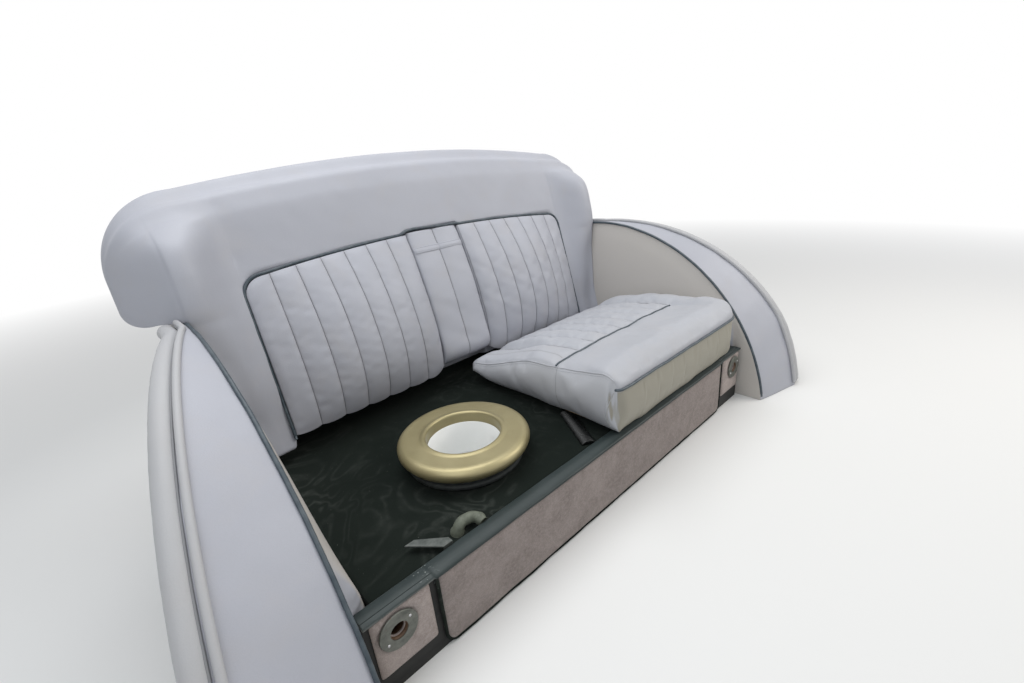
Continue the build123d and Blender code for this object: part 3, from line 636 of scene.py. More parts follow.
def satin_steel():
    s = Shader("steel", rough=0.48, specular=0.45, metallic=0.15)
    wear = s.noise(24.0, detail=8, rough=0.7)
    base = s.blend(s.ramp(wear, 0.35, 0.7), (0.045, 0.047, 0.050), (0.085, 0.088, 0.092))
    s.colour(s.blend(s.ramp(wear, 0.70, 0.76, 0.0, 0.6), base, (0.20, 0.11, 0.06)))
    s.bump(s.noise(260.0, detail=4), 0.0004, 0.35)
    return s.material


def bright_steel():
    s = Shader("pin_steel", rough=0.30, specular=0.5, metallic=0.95)
    lines = s.noise(1200.0, detail=2, vector=s.scaled((0.05, 1.0, 1.0)))
    s.colour(s.blend(s.ramp(lines, 0.3, 0.7), (0.54, 0.54, 0.55), (0.42, 0.42, 0.43)))
    s.bump(lines, 0.0002, 0.3)
    return s.material


def wood(name, light, dark, scale, along):
    """Planed wood: long grain with darker lines, and pores."""
    s = Shader(name, rough=0.62, specular=0.3)
    stretched = s.scaled(along)
    bands = s.noise(scale, detail=5, rough=0.55, distortion=1.4, vector=stretched)
    pores = s.noise(scale * 16, detail=3, rough=0.7, vector=stretched)
    base = s.blend(s.ramp(bands, 0.36, 0.64), light, dark)
    base = s.blend(s.ramp(pores, 0.58, 0.72, 0.0, 0.5), base, tuple(c * 0.55 for c in dark))
    s.colour(base)
    s.bump(pores, 0.0006, 0.45)
    s.bump(bands, 0.0008, 0.2)
    return s.material


LEATHER = leather()
# painted light: the arch covers' inner walls get a warmer, lighter tone, as if in sunlight
ARCH_LEATHER = leather("arch_leather", inner=(0.50, 0.475, 0.445))
SEAL_LEATHER = leather("seal_leather", tone=(0.455, 0.458, 0.470))
# painted shadow: dark leather for the thin tube that stands for the shade in the groove beside each door
# seal
SEAL_SHADOW_LEATHER = leather("seal_painted_shadow", tone=(0.235, 0.238, 0.250), warm=(0.24, 0.235, 0.23))
SQUAB_LEATHER = leather("squab_leather", first=SQUAB_IN, pitch=(SQUAB_HALF - PIPING - SQUAB_IN) / FLUTES)
ARM_LEATHER = leather("armrest_leather", first=0.0, pitch=1.0)
# painted light: the cushion's side faces get a lighter inner tone; its front face is a darker beige, partly
# its own colour and partly painted shade
CUSHION_LEATHER = leather("cushion_leather", first=SQUAB_IN, pitch=PITCH_X, until=-0.383,
                          tone=(0.452, 0.463, 0.498), inner=(0.53, 0.54, 0.57))
PIPING_M = piping_leather()
FELT = felt_cloth()
CARPET = carpet_cloth(level=1.32)
# painted light: the same carpet as the heel carpet, made lighter to make up for the shade the arch covers
# cast on the end carpets
END_CARPET_PAINTED_LIGHT = carpet_cloth("end_carpet", level=1.75)
VINYL = rail_vinyl()
GOLD = gold_paint()
RUBBER = rubber_black()
WHITE = bowl_enamel()
METAL = dull_metal("bare_metal", (0.165, 0.170, 0.150), (0.085, 0.092, 0.080), 0.55)
LEVER_METAL = dull_metal("lever_metal", (0.120, 0.130, 0.122), (0.055, 0.064, 0.060), 0.45)
RUST = dull_metal("rusty_sleeve", (0.115, 0.065, 0.035), (0.050, 0.028, 0.016), 0.1)
STRAP = rubber_black("strap_rubber", 0.30, 0.25)
DRAIN = drain_grey()
STEEL = satin_steel()
BRIGHT = bright_steel()
PLYWOOD = wood("plywood", (0.50, 0.36, 0.21), (0.36, 0.24, 0.13), 9.0, (0.35, 2.2, 2.2))
# painted shade: black boards, so that the gaps beside the heel and end carpets stay dark
SHADE_BLACK_PLY = wood("shade_black_plywood", (0.022, 0.022, 0.021), (0.012, 0.012, 0.012), 9.0, (0.35, 2.2, 2.2))
ASH = wood("ash", (0.58, 0.45, 0.29), (0.42, 0.30, 0.17), 12.0, (0.3, 2.4, 2.4))


def linked(tree, kind, *sockets, operation=None):
    """New node with the given sockets linked to its first inputs, in order."""
    node = tree.nodes.new(kind)
    if operation:
        node.operation = operation
    for place, socket in zip(node.inputs, sockets):
        tree.links.new(socket, place)
    return node


def place_camera():
    """Camera at the photograph's place and angle."""
    data = bpy.data.cameras.new("camera")
    data.sensor_width = SENSOR
    data.lens = LENS
    data.clip_start = 0.02
    data.clip_end = 60
    obj = add_object("camera", data)
    ahead = Vector((math.sin(YAW) * math.cos(PITCH), math.cos(YAW) * math.cos(PITCH), math.sin(PITCH)))
    flat = Vector((math.cos(YAW), -math.sin(YAW), 0))
    upright = flat.cross(ahead)
    right = math.cos(ROLL) * flat + math.sin(ROLL) * upright
    up = -math.sin(ROLL) * flat + math.cos(ROLL) * upright
    turn = Matrix((right, up, -ahead)).transposed()
    obj.matrix_world = Matrix.Translation(EYE) @ turn.to_4x4()
    bpy.context.scene.camera = obj


def place_lights():
    """Plain soft studio light: a pale world and three large soft lamps."""
    scene = bpy.context.scene
    world = bpy.data.worlds.new("world")
    scene.world = world
    world.use_nodes = True
    tree = world.node_tree
    tree.nodes.clear()
    shades = []
    for colour, strength in (((0.93, 0.96, 1.0, 1), 0.34), ((1, 1, 1, 1), 1.0)):
        shade = tree.nodes.new("ShaderNodeBackground")
        shade.inputs["Color"].default_value = colour
        shade.inputs["Strength"].default_value = strength
        shades.append(shade.outputs[0])
    rays = tree.nodes.new("ShaderNodeLightPath").outputs
    seen = rays["Is Camera Ray"]
    for name in ("Is Glossy Ray", "Is Transmission Ray"):
        seen = linked(tree, "ShaderNodeMath", seen, rays[name], operation="MAXIMUM").outputs[0]
    choose = linked(tree, "ShaderNodeMixShader", seen, *shades)
    linked(tree, "ShaderNodeOutputWorld", choose.outputs[0])
    for name, spot, aim, size, power, colour in (
        ("key", (1.9, -1.9, 2.0), (0.1, -0.1, 0.3), 1.6, 34.0, (1.0, 0.96, 0.90)),
        ("fill", (-2.2, -1.6, 2.2), (-0.1, -0.2, 0.3), 2.2, 22.0, (0.94, 0.97, 1.0)),
        ("top", (-0.2, 0.1, 2.9), (-0.1, -0.2, 0.2), 2.2, 50.0, (0.98, 0.99, 1.0)),
    ):
        lamp = bpy.data.lights.new(name, "AREA")
        lamp.size = size
        lamp.energy = power
        lamp.color = colour
        obj = add_object(name, lamp)
        obj.location = spot
        obj.rotation_euler = (Vector(aim) - Vector(spot)).to_track_quat("-Z", "Y").to_euler()


def place_floor():
    """Pale floor that runs out to white."""
    reach, steps = 30.0, 64
    angles = np.linspace(0, math.tau, steps, endpoint=False)
    circle = np.stack([np.cos(angles), np.sin(angles), 0 * angles], -1)
    rings = [r * circle for r in (0.01, 2.0, 6.0, reach)]
    index = np.arange(4 * steps).reshape(4, steps)
    index = np.hstack([index, index[:, :1]])
    obj = make_piece("floor", np.array(rings), grid_quads(index) + [index[0, :-1].tolist()])
    s = Shader("floor", rough=0.9, specular=0.1)
    s.surface.inputs["Base Color"].default_value = (0.80, 0.80, 0.79, 1)
    tree = s.tree
    white = tree.nodes.new("ShaderNodeEmission")
    length = linked(tree, "ShaderNodeVectorMath", s.place, operation="LENGTH")
    far = linked(tree, "ShaderNodeMapRange", length.outputs["Value"])
    for key, distance in (("From Min", 1.6), ("From Max", 4.5)):
        far.inputs[key].default_value = distance
    rays = tree.nodes.new("ShaderNodeLightPath").outputs
    seen = rays["Is Camera Ray"]
    shown = linked(tree, "ShaderNodeMath", far.outputs["Result"], seen, operation="MULTIPLY")
    choose = linked(tree, "ShaderNodeMixShader", shown.outputs[0], s.surface.outputs[0], white.outputs[0])
    tree.links.new(choose.outputs[0], tree.nodes["Material Output"].inputs[0])
    obj.data.materials.append(s.material)


def arc_drop(half, drop, height, x):
    """Height at x of an arc that is height at the middle and lower by drop at half."""
    radius = (half ** 2 + drop ** 2) / (2 * drop)
    return height - radius + np.sqrt(radius ** 2 - np.minimum(np.abs(x), radius) ** 2)


def squab_top_line(x, grow=0.0):
    """Top of the pleated area along the lean, with its rounded corners."""
    x = np.abs(x)
    half = SQUAB_HALF + grow
    corner = SQUAB_CORNER + grow
    start = half - corner
    level = arc_drop(SQUAB_HALF, SQUAB_SAG, SQUAB_TOP + grow, np.minimum(x, start))
    inside = np.clip(x - start, 0, corner)
    return level - corner + np.sqrt(corner ** 2 - inside ** 2)


def squab_crown(x):
    """Height of the squabs' crown: low at the piping, full in the middle and middling at the armrest."""
    share = np.clip((np.abs(x) - SQUAB_IN - PITCH_X / 2) / (PITCH_X * (FLUTES - 1)), -0.08, 1.08)
    ends = mix(CROWN_INNER, CROWN_EDGE, share)
    return ends + (CROWN_HEIGHT - (CROWN_INNER + CROWN_EDGE) / 2) * np.sin(np.pi * np.clip(share, 0, 1))


def rise_and_fall(s, foot, peak, top):
    """0 at the foot and at the top, and 1 at the peak, rounded like a stuffed pad."""
    below = 1 - np.abs((peak - s) / (peak - foot)) ** 2.2
    above = 1 - np.abs((s - peak) / (top - peak)) ** 2.0
    return np.where(s < peak, below, above)


SIDE_FILL = 0.0019              # how far the squabs and the armrest swell towards each other
FLUTE_COLUMNS = np.array([0, 0.018, 0.05, 0.12, 0.24, 0.40, 0.60, 0.76, 0.88, 0.95, 0.982])
FLUTE_SHAPE = 1 - np.abs(2 * FLUTE_COLUMNS - 1) ** 2.6


def squab_piece(side):
    """Pleated squab: flutes side by side, sewn down between, with a rounded foot."""
    shares = np.concatenate([FLUTE_COLUMNS + i for i in range(FLUTES)] + [[FLUTES]])
    shape = np.concatenate([FLUTE_SHAPE] * FLUTES + [[0.0]])
    outer = SQUAB_HALF - PIPING
    across = SQUAB_IN + shares * (outer - SQUAB_IN) / FLUTES
    across[0] -= SIDE_FILL
    rows = np.concatenate([
        [0, 0.006, 0.016, 0.032, 0.055], np.linspace(0.085, 0.93, 40), [0.955, 0.975, 0.99, 1],
    ])
    layers = np.array([0.0, 0.3, 0.65, 0.9, 1.0])
    inner_turn = np.clip(1 - (across - SQUAB_IN) / 0.055, 0, 1) ** 2
    foot = -0.0045 * shape + 0.019 * inner_turn
    top = squab_top_line(across, -PIPING)
    s = foot[:, None] + (top - foot)[:, None] * rows
    crown = rise_and_fall(s, foot[:, None] - 0.004, CROWN_PLACE, top[:, None] + 0.006)
    crown = squab_crown(across)[:, None] * crown
    edge = np.minimum(smooth_step(rows / 0.05), smooth_step((1 - rows) / 0.04))
    puff = 0.0048 * shape[:, None] * (0.35 + 0.65 * edge)
    sewn = -0.0022 * (shape[:, None] < 0.02) * edge
    side_edge = 0.35 + 0.65 * np.sqrt(np.clip((outer - across) / 0.012, 0, 1)[:, None])
    inner_edge = 0.60 + 0.40 * np.sqrt(np.clip((across - SQUAB_IN) / 0.022, 0, 1)[:, None])
    n = crown * side_edge * inner_edge + puff + sewn + 0.002
    place = lean_points(side * across[:, None], s, n)
    n = n + 0.0011 * ripples(place, 0.06, 11 if side < 0 else 12) * edge
    depth = (n + SQUAB_DEPTH)[..., None] * layers - SQUAB_DEPTH
    tuck = (1 - layers) * 0.010
    s_all = s[..., None] + tuck * (1 - rows[:, None] * 2)
    obj = shell("squab_cover_" + SIDES[side], lean_points(side * across[:, None, None], s_all, depth))
    p = points_of(obj)
    seams = SQUAB_IN + np.arange(FLUTES + 1) * (outer - SQUAB_IN) / FLUTES
    groove = np.min(np.abs(np.abs(p[:, 0])[:, None] - seams), 1)
    front = p[:, 1] * math.cos(LEAN) - (p[:, 2] - FOOT_Z) * math.sin(LEAN)
    height = (p[:, 2] - FOOT_Z) * math.cos(LEAN) + p[:, 1] * math.sin(LEAN)
    below_top = squab_top_line(p[:, 0], -PIPING) - height
    pinned = (groove < 0.0015) | (front > 0.004) | (height < 0.012) | (below_top < 0.006)
    swell(obj, pinned, 2.0, 0.0025, slack=0.004, stiff=4.0)
    subdivide(obj)
    fit(obj, "base", "leather", SQUAB_LEATHER, "squab_" + SIDES[side], fill=0.75)


def arm_front(s, x):
    """How far the armrest's face stands out of the back's face."""
    top = SQUAB_TOP - 0.012
    straight = CROWN_PLACE + 0.020
    radius = ((top - straight) ** 2 + (ARM_FRONT - 0.004) ** 2) / (2 * (ARM_FRONT - 0.004))
    over = np.clip(s - straight, 0, radius * 0.9)
    face = ARM_FRONT - radius + np.sqrt(radius ** 2 - over ** 2)
    puff = 0.0055 * (1 - np.abs(2 * np.abs(x) / ARM_HALF - 1) ** 2.4)
    seam = -0.0020 * (np.abs(x) < 0.001)
    side = -0.006 * (1 - np.sqrt(np.clip((ARM_HALF - np.abs(x)) / 0.008, 0, 1)))
    return face + puff + seam + side - 0.001


def armrest_piece():
    """Folding armrest: two flutes, a stitched band near its top and a round lower end."""
    half = ARM_HALF
    one = np.array([0.001, 0.004, 0.010, 0.022, 0.036, 0.052, 0.066, 0.077, 0.084, 0.088, half])
    across = np.concatenate([-one[::-1], [0.0], one])
    rows = np.concatenate([np.linspace(0, 0.93, 46), [0.95, 0.97, 0.985, 1.0]])
    layers = np.array([-1, -0.97, -0.88, -0.7, -0.45, -0.15, 0.15, 0.45, 0.7, 0.88, 0.97, 1.0])
    x = across[:, None, None]
    w = layers[None, None, :]
    radius = ARM_THICK / 2
    foot = PIN_ALONG - radius * np.sqrt(np.clip(1 - w ** 2, 0, 1)) - 0.002 * (1 - (np.abs(x) / half) ** 6)
    lift = mix(0.0042, 0.0018, smooth_step((x + ARM_HALF) / (2 * ARM_HALF)))
    top = SQUAB_TOP - 0.002 + lift * smooth_step(w / 0.5) - 0.004 * np.clip(w, 0, 1) ** 4
    s = foot + (top - foot) * rows[None, :, None]
    front = arm_front(s, x) - PIN_DEPTH
    back = radius - 0.0035 * (1 - np.sqrt(np.clip((half - np.abs(x)) / 0.012, 0, 1)))
    n = PIN_DEPTH + np.where(w > 0, w * front, w * back)
    x = x * (1 + SIDE_FILL / half * (np.abs(w) < 0.6) * (np.abs(x) > 0.089))
    lattice = lean_points(x, s, n)
    lattice = lattice + 0.0010 * ripples(lattice, 0.07, 21)[..., None] * np.array([0, -1, 0.2])
    obj = shell("armrest_cover", lattice)
    subdivide(obj)
    fit(obj, "armrest", "leather", ARM_LEATHER, "armrest_pad", fill=0.8)


def armrest_band_piece():
    """Band sewn across the armrest's face, with a row of stitches along each edge."""
    across = np.linspace(-ARM_HALF + 0.0015, ARM_HALF - 0.0015, 61)
    rows = np.array([0, 0.08, 0.16, 0.3, 0.5, 0.7, 0.84, 0.92, 1.0])
    rise = np.array([0.0, 0.0016, 0.0009, 0.0022, 0.0026, 0.0022, 0.0009, 0.0016, 0.0])
    s = BAND[0] + (BAND[1] - BAND[0]) * rows
    face = arm_front(s[None, :], across[:, None])
    layers = np.array([-0.0035, 0.0, 1.0])
    n = face[..., None] + np.where(layers < 0, layers, 0.0) + np.where(layers > 0, rise[None, :, None], 0.0)
    lattice = lean_points(across[:, None, None], s[None, :, None] + 0 * n, n)
    obj = shell("armrest_band_strip", lattice)
    subdivide(obj)
    fit(obj, "armrest", "leather", LEATHER, "armrest_band")
    stitches = []
    for edge in (0.12, 0.88):
        place = BAND[0] + (BAND[1] - BAND[0]) * edge
        for x in np.arange(-ARM_HALF + 0.006, ARM_HALF - 0.006, 0.0055):
            ends = np.array([x, x + 0.0035])
            n = arm_front(place, ends) + 0.0016
            stitches.append(lean_points(ends, place, n))
    row = join_tubes("armrest_stitches", stitches, 0.0005, 5)
    fit(row, "armrest", "leather", LEATHER)


def squab_piping_piece():
    """Dark piping round the pleated area, stepped up over the armrest."""
    start = SQUAB_HALF - SQUAB_CORNER
    level = float(arc_drop(SQUAB_HALF, SQUAB_SAG, SQUAB_TOP, start)) - SQUAB_CORNER
    side = np.linspace(-0.008, level, 40)[:-1]
    corner = np.linspace(0, math.pi / 2, 14)
    x_top = np.linspace(start, -start, 190)[1:-1]
    step = 0.0075 * smooth_step((ARM_HALF + 0.024 - np.abs(x_top)) / 0.030) * np.where(x_top > 0, 0.35, 1.0)
    middle = smooth_step((0.06 - x_top) / 0.12)
    step = np.where(np.abs(x_top) < 0.06, 0.0075 * mix(0.35, 1.0, middle), step)
    s_top = arc_drop(SQUAB_HALF, SQUAB_SAG, SQUAB_TOP, x_top) + step
    turn = np.stack([start + SQUAB_CORNER * np.cos(corner), level + SQUAB_CORNER * np.sin(corner)], -1)
    rise = np.stack([np.full(len(side), SQUAB_HALF), side], -1)
    mirror = np.array([-1, 1])
    top = np.stack([x_top, s_top], -1)
    line = np.concatenate([rise, turn, top, turn[::-1] * mirror, rise[::-1] * mirror])
    points = lean_points(line[:, 0], line[:, 1], 0.0015)
    points += 0.0006 * ripples(points, 0.09, 5)[:, None]
    obj = tube("squab_piping_cord", points, PIPING, sides=12)
    fit(obj, "base", "piping", PIPING_M, "squab_piping")


def back_top_line(x):
    """Top edge of the backrest along the lean, at its rear, with round ends."""
    x = np.abs(x)
    start = BACK_HALF - BACK_CORNER
    level = arc_drop(BACK_DROP_HALF, BACK_DROP, BACK_TOP, np.minimum(x, start))
    inside = np.clip(x - start, 0, BACK_CORNER)
    z = level - BACK_CORNER + np.sqrt(BACK_CORNER ** 2 - inside ** 2)
    return (z - FOOT_Z + 0.100 * math.sin(LEAN)) / math.cos(LEAN)


# Face of the back: places across it, and how far it stands out there
WING_PLAN = (
    (0, 0), (0.5615, 0), (0.585, 0.014), (0.605, 0.036), (0.622, 0.058), (0.640, 0.077), (0.655, 0.087),
    (0.670, 0.088), (0.685, 0.078), (0.700, 0.060), (0.720, 0.031), (0.740, 0.0), (0.760, -0.032),
    (0.775, -0.062), (0.785, -0.096),
)
# Front edge of the wing and the rolled top: places up the back, and how far they stand out
WING_SIDE = (
    (-0.06, 0.004), (0.03, 0.004), (0.067, 0.006), (0.09, 0.014), (0.16, 0.029), (0.229, 0.040),
    (0.305, 0.062), (0.38, 0.096), (0.42, 0.104), (0.449, 0.104), (0.48, 0.098), (0.513, 0.082),
    (0.547, 0.053), (0.575, 0.024), (0.60, 0.003), (0.63, -0.009), (0.655, -0.021), (0.668, -0.035),
    (0.677, -0.054), (0.682, -0.080),
)


def rounded_curve(table, width):
    """Places and heights of a table's line at every millimetre, with its corners rounded over a width."""
    places, heights = np.array(table).T
    fine = np.arange(places[0] - 3 * width, places[-1] + 3 * width, 0.001)
    reach = np.arange(-3 * width, 3 * width + 1e-9, 0.001)
    weights = np.exp(-0.5 * (reach / width) ** 2)
    slope = (heights[-1] - heights[-2]) / (places[-1] - places[-2])
    line = np.interp(fine, places, heights) + slope * np.clip(fine - places[-1], 0, None)
    line = np.convolve(np.pad(line, len(reach) // 2, mode="edge"), weights / weights.sum(), mode="same")
    return fine, line[len(reach) // 2:len(reach) // 2 + len(fine)]


PLAN_CURVE = rounded_curve(WING_PLAN, 0.009)
SIDE_CURVE = rounded_curve(WING_SIDE, 0.008)


def wing_plan(x):
    return np.interp(np.abs(x), *PLAN_CURVE)


def wing_side(s):
    return np.interp(s, *SIDE_CURVE)


def smooth_columns(values, rounds, axis):
    """Rounds a lattice off along one axis by averaging neighbours."""
    count = values.shape[axis]
    index = [slice(None)] * values.ndim
    index[axis] = slice(1, -1)
    for _ in range(rounds):
        before, after, middle = (np.take(values, range(a, count - 2 + a), axis) for a in (0, 2, 1))
        values[tuple(index)] = middle * (1 - SMOOTHING) + (before + after) / 2 * SMOOTHING
    return values


def back_piece():
    """Upholstered back: a wide smooth panel with a rolled top and wings, recessed for the armrest."""
    recess = SQUAB_IN
    half_columns = np.concatenate([
        [0, 0.03, 0.06, recess - 0.004, recess - 0.0005, recess + 0.0005, recess + 0.006],
        np.linspace(0.120, 0.532, 25),
        [0.542, 0.547, 0.5515, 0.5555, 0.5595],
        np.linspace(0.568, STEP_X - 0.0005, 15),
        [STEP_X + 0.0005],
        np.linspace(0.698, 0.745, 9),
        [0.751, 0.757, 0.762, 0.767, 0.771, 0.775, 0.778, 0.781, 0.783, 0.7845, BACK_HALF],
    ])
    across = np.concatenate([-half_columns[::-1], half_columns[1:]])
    foot = (PAD_FOOT - FOOT_Z) / math.cos(LEAN)
    step = (ARCH_Z + arch_radius(STEP_X) - FOOT_Z) / math.cos(LEAN) - 0.012
    ears = np.abs(across) > STEP_X
    turn = np.clip(np.abs(across) - (BACK_HALF - EAR_ROUND), 0, EAR_ROUND)
    ear_z = ARCH_Z + arch_radius(np.clip(np.abs(across), 0.66, 0.735)) + EAR_ROUND
    ear_z -= np.sqrt(EAR_ROUND ** 2 - turn ** 2)
    ear_foot = np.where(ears, (ear_z - FOOT_Z) / math.cos(LEAN) - 0.012, step)
    low_foot = np.where(np.abs(across) < SQUAB_HALF, -0.004, foot)
    low_share = np.concatenate([np.linspace(0, 0.97, 34), [0.985, 1.0]])
    low = low_foot[:, None] + (step - low_foot)[:, None] * low_share
    low = np.where(ears[:, None], ear_foot[:, None], low)
    arm_top = SQUAB_TOP + TOP_RISE
    top = back_top_line(across)
    high = np.concatenate([
        [0.008, 0.018, 0.032, 0.046, 0.060, 0.070, arm_top - step - 0.0005, arm_top - step + 0.0005, 0.088],
        np.linspace(0.100, 0.235, 13), np.linspace(0.244, 0.315, 14),
    ])
    shares = np.sort(np.concatenate([high / (back_top_line(0.0) - step), [0.978, 0.988, 0.996, 1.0]]))
    s = np.concatenate([low, ear_foot[:, None] + (top - ear_foot)[:, None] * shares[None, :]], 1)
    x = across[:, None] + 0 * s
    lower = (back_top_line(0.0) - top)[:, None]
    side = wing_side(s + lower * smooth_step((s - top[:, None] + 0.22) / 0.18))
    n = smooth_min(wing_plan(x), side, 0.034)
    ear_drop = np.clip((s - ear_foot[:, None]) / 0.012, 0, 1)
    n = np.where(ears[:, None], n - 0.007 * (1 - np.sqrt(1 - (1 - ear_drop) ** 2)), n)
    n = smooth_columns(n, 8, 0)
    n = smooth_columns(n, 6, 1)
    place = lean_points(x, s, n)
    n = n + 0.0022 * ripples(place, 0.42, 3, 2) + 0.0008 * ripples(place, 0.11, 4)
    inside = np.minimum(SQUAB_HALF - np.abs(x), squab_top_line(x) - s)
    n = n - (SQUAB_DEPTH + 0.002) * smooth_step((inside - 0.002) / 0.010)
    arm = (np.abs(x) < recess) & (s < arm_top)
    n = np.where(arm, PIN_DEPTH - ARM_THICK / 2 - ARM_ROOM, n)
    layers = np.array([0.0, 0.35, 0.7, 0.92, 1.0])
    depth = -PAD_DEPTH + (n + PAD_DEPTH)[..., None] * layers
    level = ears[:, None, None] * np.clip(1 - (s - ear_foot[:, None]) / 0.08, 0, 1)[..., None]
    sag = (n[..., None] - depth) * math.tan(LEAN) * level
    lattice = lean_points(x[..., None], s[..., None] + sag * 0.78, depth)
    beside = np.clip((np.abs(across) - NARROW_X) / (STEP_X - NARROW_X), 0, 1)
    beside = np.where(ears, 0, beside)[:, None, None]
    narrow = (STEP_X - PAD_SIDE_X) * beside * (1 - wall_share(lattice[..., 1], lattice[..., 2]))
    lattice[..., 0] -= np.sign(lattice[..., 0]) * narrow
    obj = shell("back_cover", lattice)
    subdivide(obj)
    fit(obj, "base", "leather", LEATHER, "back_pad", fill=0.85)


def arch_outer_x(y):
    (x0, y0), (x1, y1) = ARCH_OUTER
    return np.clip(x0 + (x1 - x0) * (y0 - y) / (y0 - y1), x0, x1)


def arch_radius(x):
    return ARCH_R + ARCH_FLARE * (x - ARCH_PIPING_X)


def wall_share(y, z):
    """How far up an arch cover's inner wall a place is: 0 at the deck and 1 at the piping."""
    crest = ARCH_Z + np.sqrt(np.maximum(ARCH_R ** 2 - (y - ARCH_Y) ** 2, 0.01))
    power = mix(2.4, 1.35, smooth_step((-0.20 - y) / 0.30))
    return np.clip((z - DECK) / np.maximum(crest - DECK, 0.03), 0, 1) ** power


def arch_skin(theta, share, inset):
    """Point on an arch cover's skin: theta goes round the wheel, share from the wall's foot outwards."""
    wall = ARCH_WALL + inset
    start_r = ARCH_R - 0.058 - 0.4 * inset
    edge_x = ARCH_PIPING_X + 0.5 * inset
    edge_r = arch_radius(edge_x) - inset
    t = np.clip(share, 0, 1)
    r_wall = mix(ARCH_BORE, start_r, t)
    u = np.clip(share - 1, 0, 1) * math.pi / 2
    r_round = start_r + (edge_r - start_r) * np.sin(u)
    r_low = np.where(share <= 1, r_wall, r_round)
    rise = wall_share(ARCH_Y - r_low * np.sin(theta), ARCH_Z + r_low * np.cos(theta))
    x_low = wall + (edge_x - wall) * (1 - (1 - rise) * np.cos(u))
    v = np.clip(share - 2, 0, 1)
    y = ARCH_Y - edge_r * np.sin(theta)
    outer = arch_outer_x(y)
    outer = arch_outer_x(ARCH_Y - (arch_radius(outer) - inset) * np.sin(theta))
    x_top = mix(edge_x, outer, v)
    r_top = arch_radius(x_top) - inset
    return np.where(share <= 2, x_low, x_top), np.where(share <= 2, r_low, r_top)


def arch_points(share, t, inset):
    """Point of the cover, with t running from its rear edge to its front foot."""
    x, r = arch_skin(0.6, share, inset)
    for _ in range(4):
        front = np.arccos(np.clip(-ARCH_Z / r, -1, 1))
        rear = -np.minimum(np.arcsin(np.clip((ARCH_REAR - ARCH_Y) / r, -1, 1)), front)
        theta = mix(rear, front, t)
        x, r = arch_skin(theta, share, inset)
    return x, ARCH_Y - r * np.sin(theta), ARCH_Z + r * np.cos(theta), theta


def arch_lattice(side, insets, cut_y):
    """Layers of an arch cover at some depths below its skin. Its wall is cut away in front of cut_y."""
    wall, shoulder = np.linspace(0, 0.96, 26), np.linspace(1.0, 2.0, 12)
    share = np.concatenate([wall, shoulder, [2.03], np.linspace(2.08, 2.97, 13), [3.0]])
    t = np.concatenate([[0, 0.006], np.linspace(0.02, 0.98, 92), [0.994, 1.0]])
    a, b, c = np.meshgrid(share, t, np.array(insets), indexing="ij")
    x, y, z, theta = arch_points(a, b, c)
    cut = smooth_step((cut_y - y) / 0.006) * (a < 2)
    x = mix(x, np.maximum(x, ARCH_CUT_X + c * 0.3), cut)
    return np.stack([side * x, y, z], -1), a, b, c, theta


def arch_piece(side):
    """Padded leather cover of a wheel arch, on its pressed panel."""
    word = SIDES[side]
    panel = arch_lattice(side, (ARCH_THICK + 0.0032, ARCH_THICK + 0.0002), RAIL_REAR + 0.013)[0]
    panel[..., 2] = np.maximum(panel[..., 2], 0.002)
    fit(shell("arch_panel_" + word, panel), "base", "steel", STEEL, "arch_shell_" + word)
    insets = (ARCH_THICK, ARCH_THICK * 0.5, ARCH_THICK * 0.12, 0.0)
    lattice, a, b, c, theta = arch_lattice(side, insets, RAIL_REAR + 0.003)
    y = lattice[..., 1]
    puff = 0.0030 * np.sin(np.pi * np.clip((a - 2.0), 0, 1)) * smooth_step(b / 0.05)
    rough = 0.0012 * ripples(lattice, 0.16, 31 if side < 0 else 32)
    outward = np.stack([0 * y, -np.sin(theta), np.cos(theta)], -1)
    lattice = lattice + outward * ((puff + rough * (a > 1.5)) * (c < ARCH_THICK * 0.6))[..., None]
    obj = shell("arch_cover_skin_" + word, lattice)
    subdivide(obj)
    fit(obj, "base", "leather", ARCH_LEATHER, "arch_cover_" + word, fill=0.7)
    x, y, z, theta = arch_points(2.0, np.linspace(0.004, 0.985, 120), 0.0)
    lift = 0.0022
    path = np.stack([side * x, y - lift * np.sin(theta), z + lift * np.cos(theta)], -1)
    path += 0.0005 * ripples(path, 0.08, 41)[:, None]
    obj = tube("arch_piping_cord_" + word, path, PIPING, 12)
    fit(obj, "base", "piping", PIPING_M, "arch_piping_" + word)
    steps = np.linspace(0.10, 0.985, 110)
    x, y, z, theta = arch_points(3.0, steps, 0.013)
    path = np.stack([side * (x + SEAL * 0.9), y, z], -1)
    radius = SEAL * (0.86 + 0.14 * smooth_step(steps / 0.4)) * (1 + 0.02 * ripples(path, 0.05, 45))
    fit(tube("door_seal_" + word, path, radius, 20), "base", "leather", SEAL_LEATHER)
    for name, share, inset, shift, thick, count, material in (
        ("seal_bead_", 2.96, -0.0035, -0.004, 0.0062, 12, SEAL_LEATHER),
        # painted shadow: a thin dark tube for the shade between the door seal and the cover
        ("seal_shadow_tube_", 3.0, 0.0005, 0.0012, 0.0022, 8, SEAL_SHADOW_LEATHER),
    ):
        x, y, z, theta = arch_points(share, steps, inset)
        line = np.stack([side * (x + shift), y, z], -1)
        fit(tube(name + word, line, thick, count), "base", "leather", material)


def cushion_top_curve():
    """Top of the loose cushion from its rear edge to the front piping, as y and z."""
    pieces = []
    at, direction = CUSHION_REAR, (0, 1)
    for end, count in zip(CUSHION_TOP, (8, 46, 16, 12)):
        points, direction = tangent_arc(at, end, direction, count)
        pieces.append(points if not pieces else points[1:])
        at = end
    return np.concatenate(pieces)


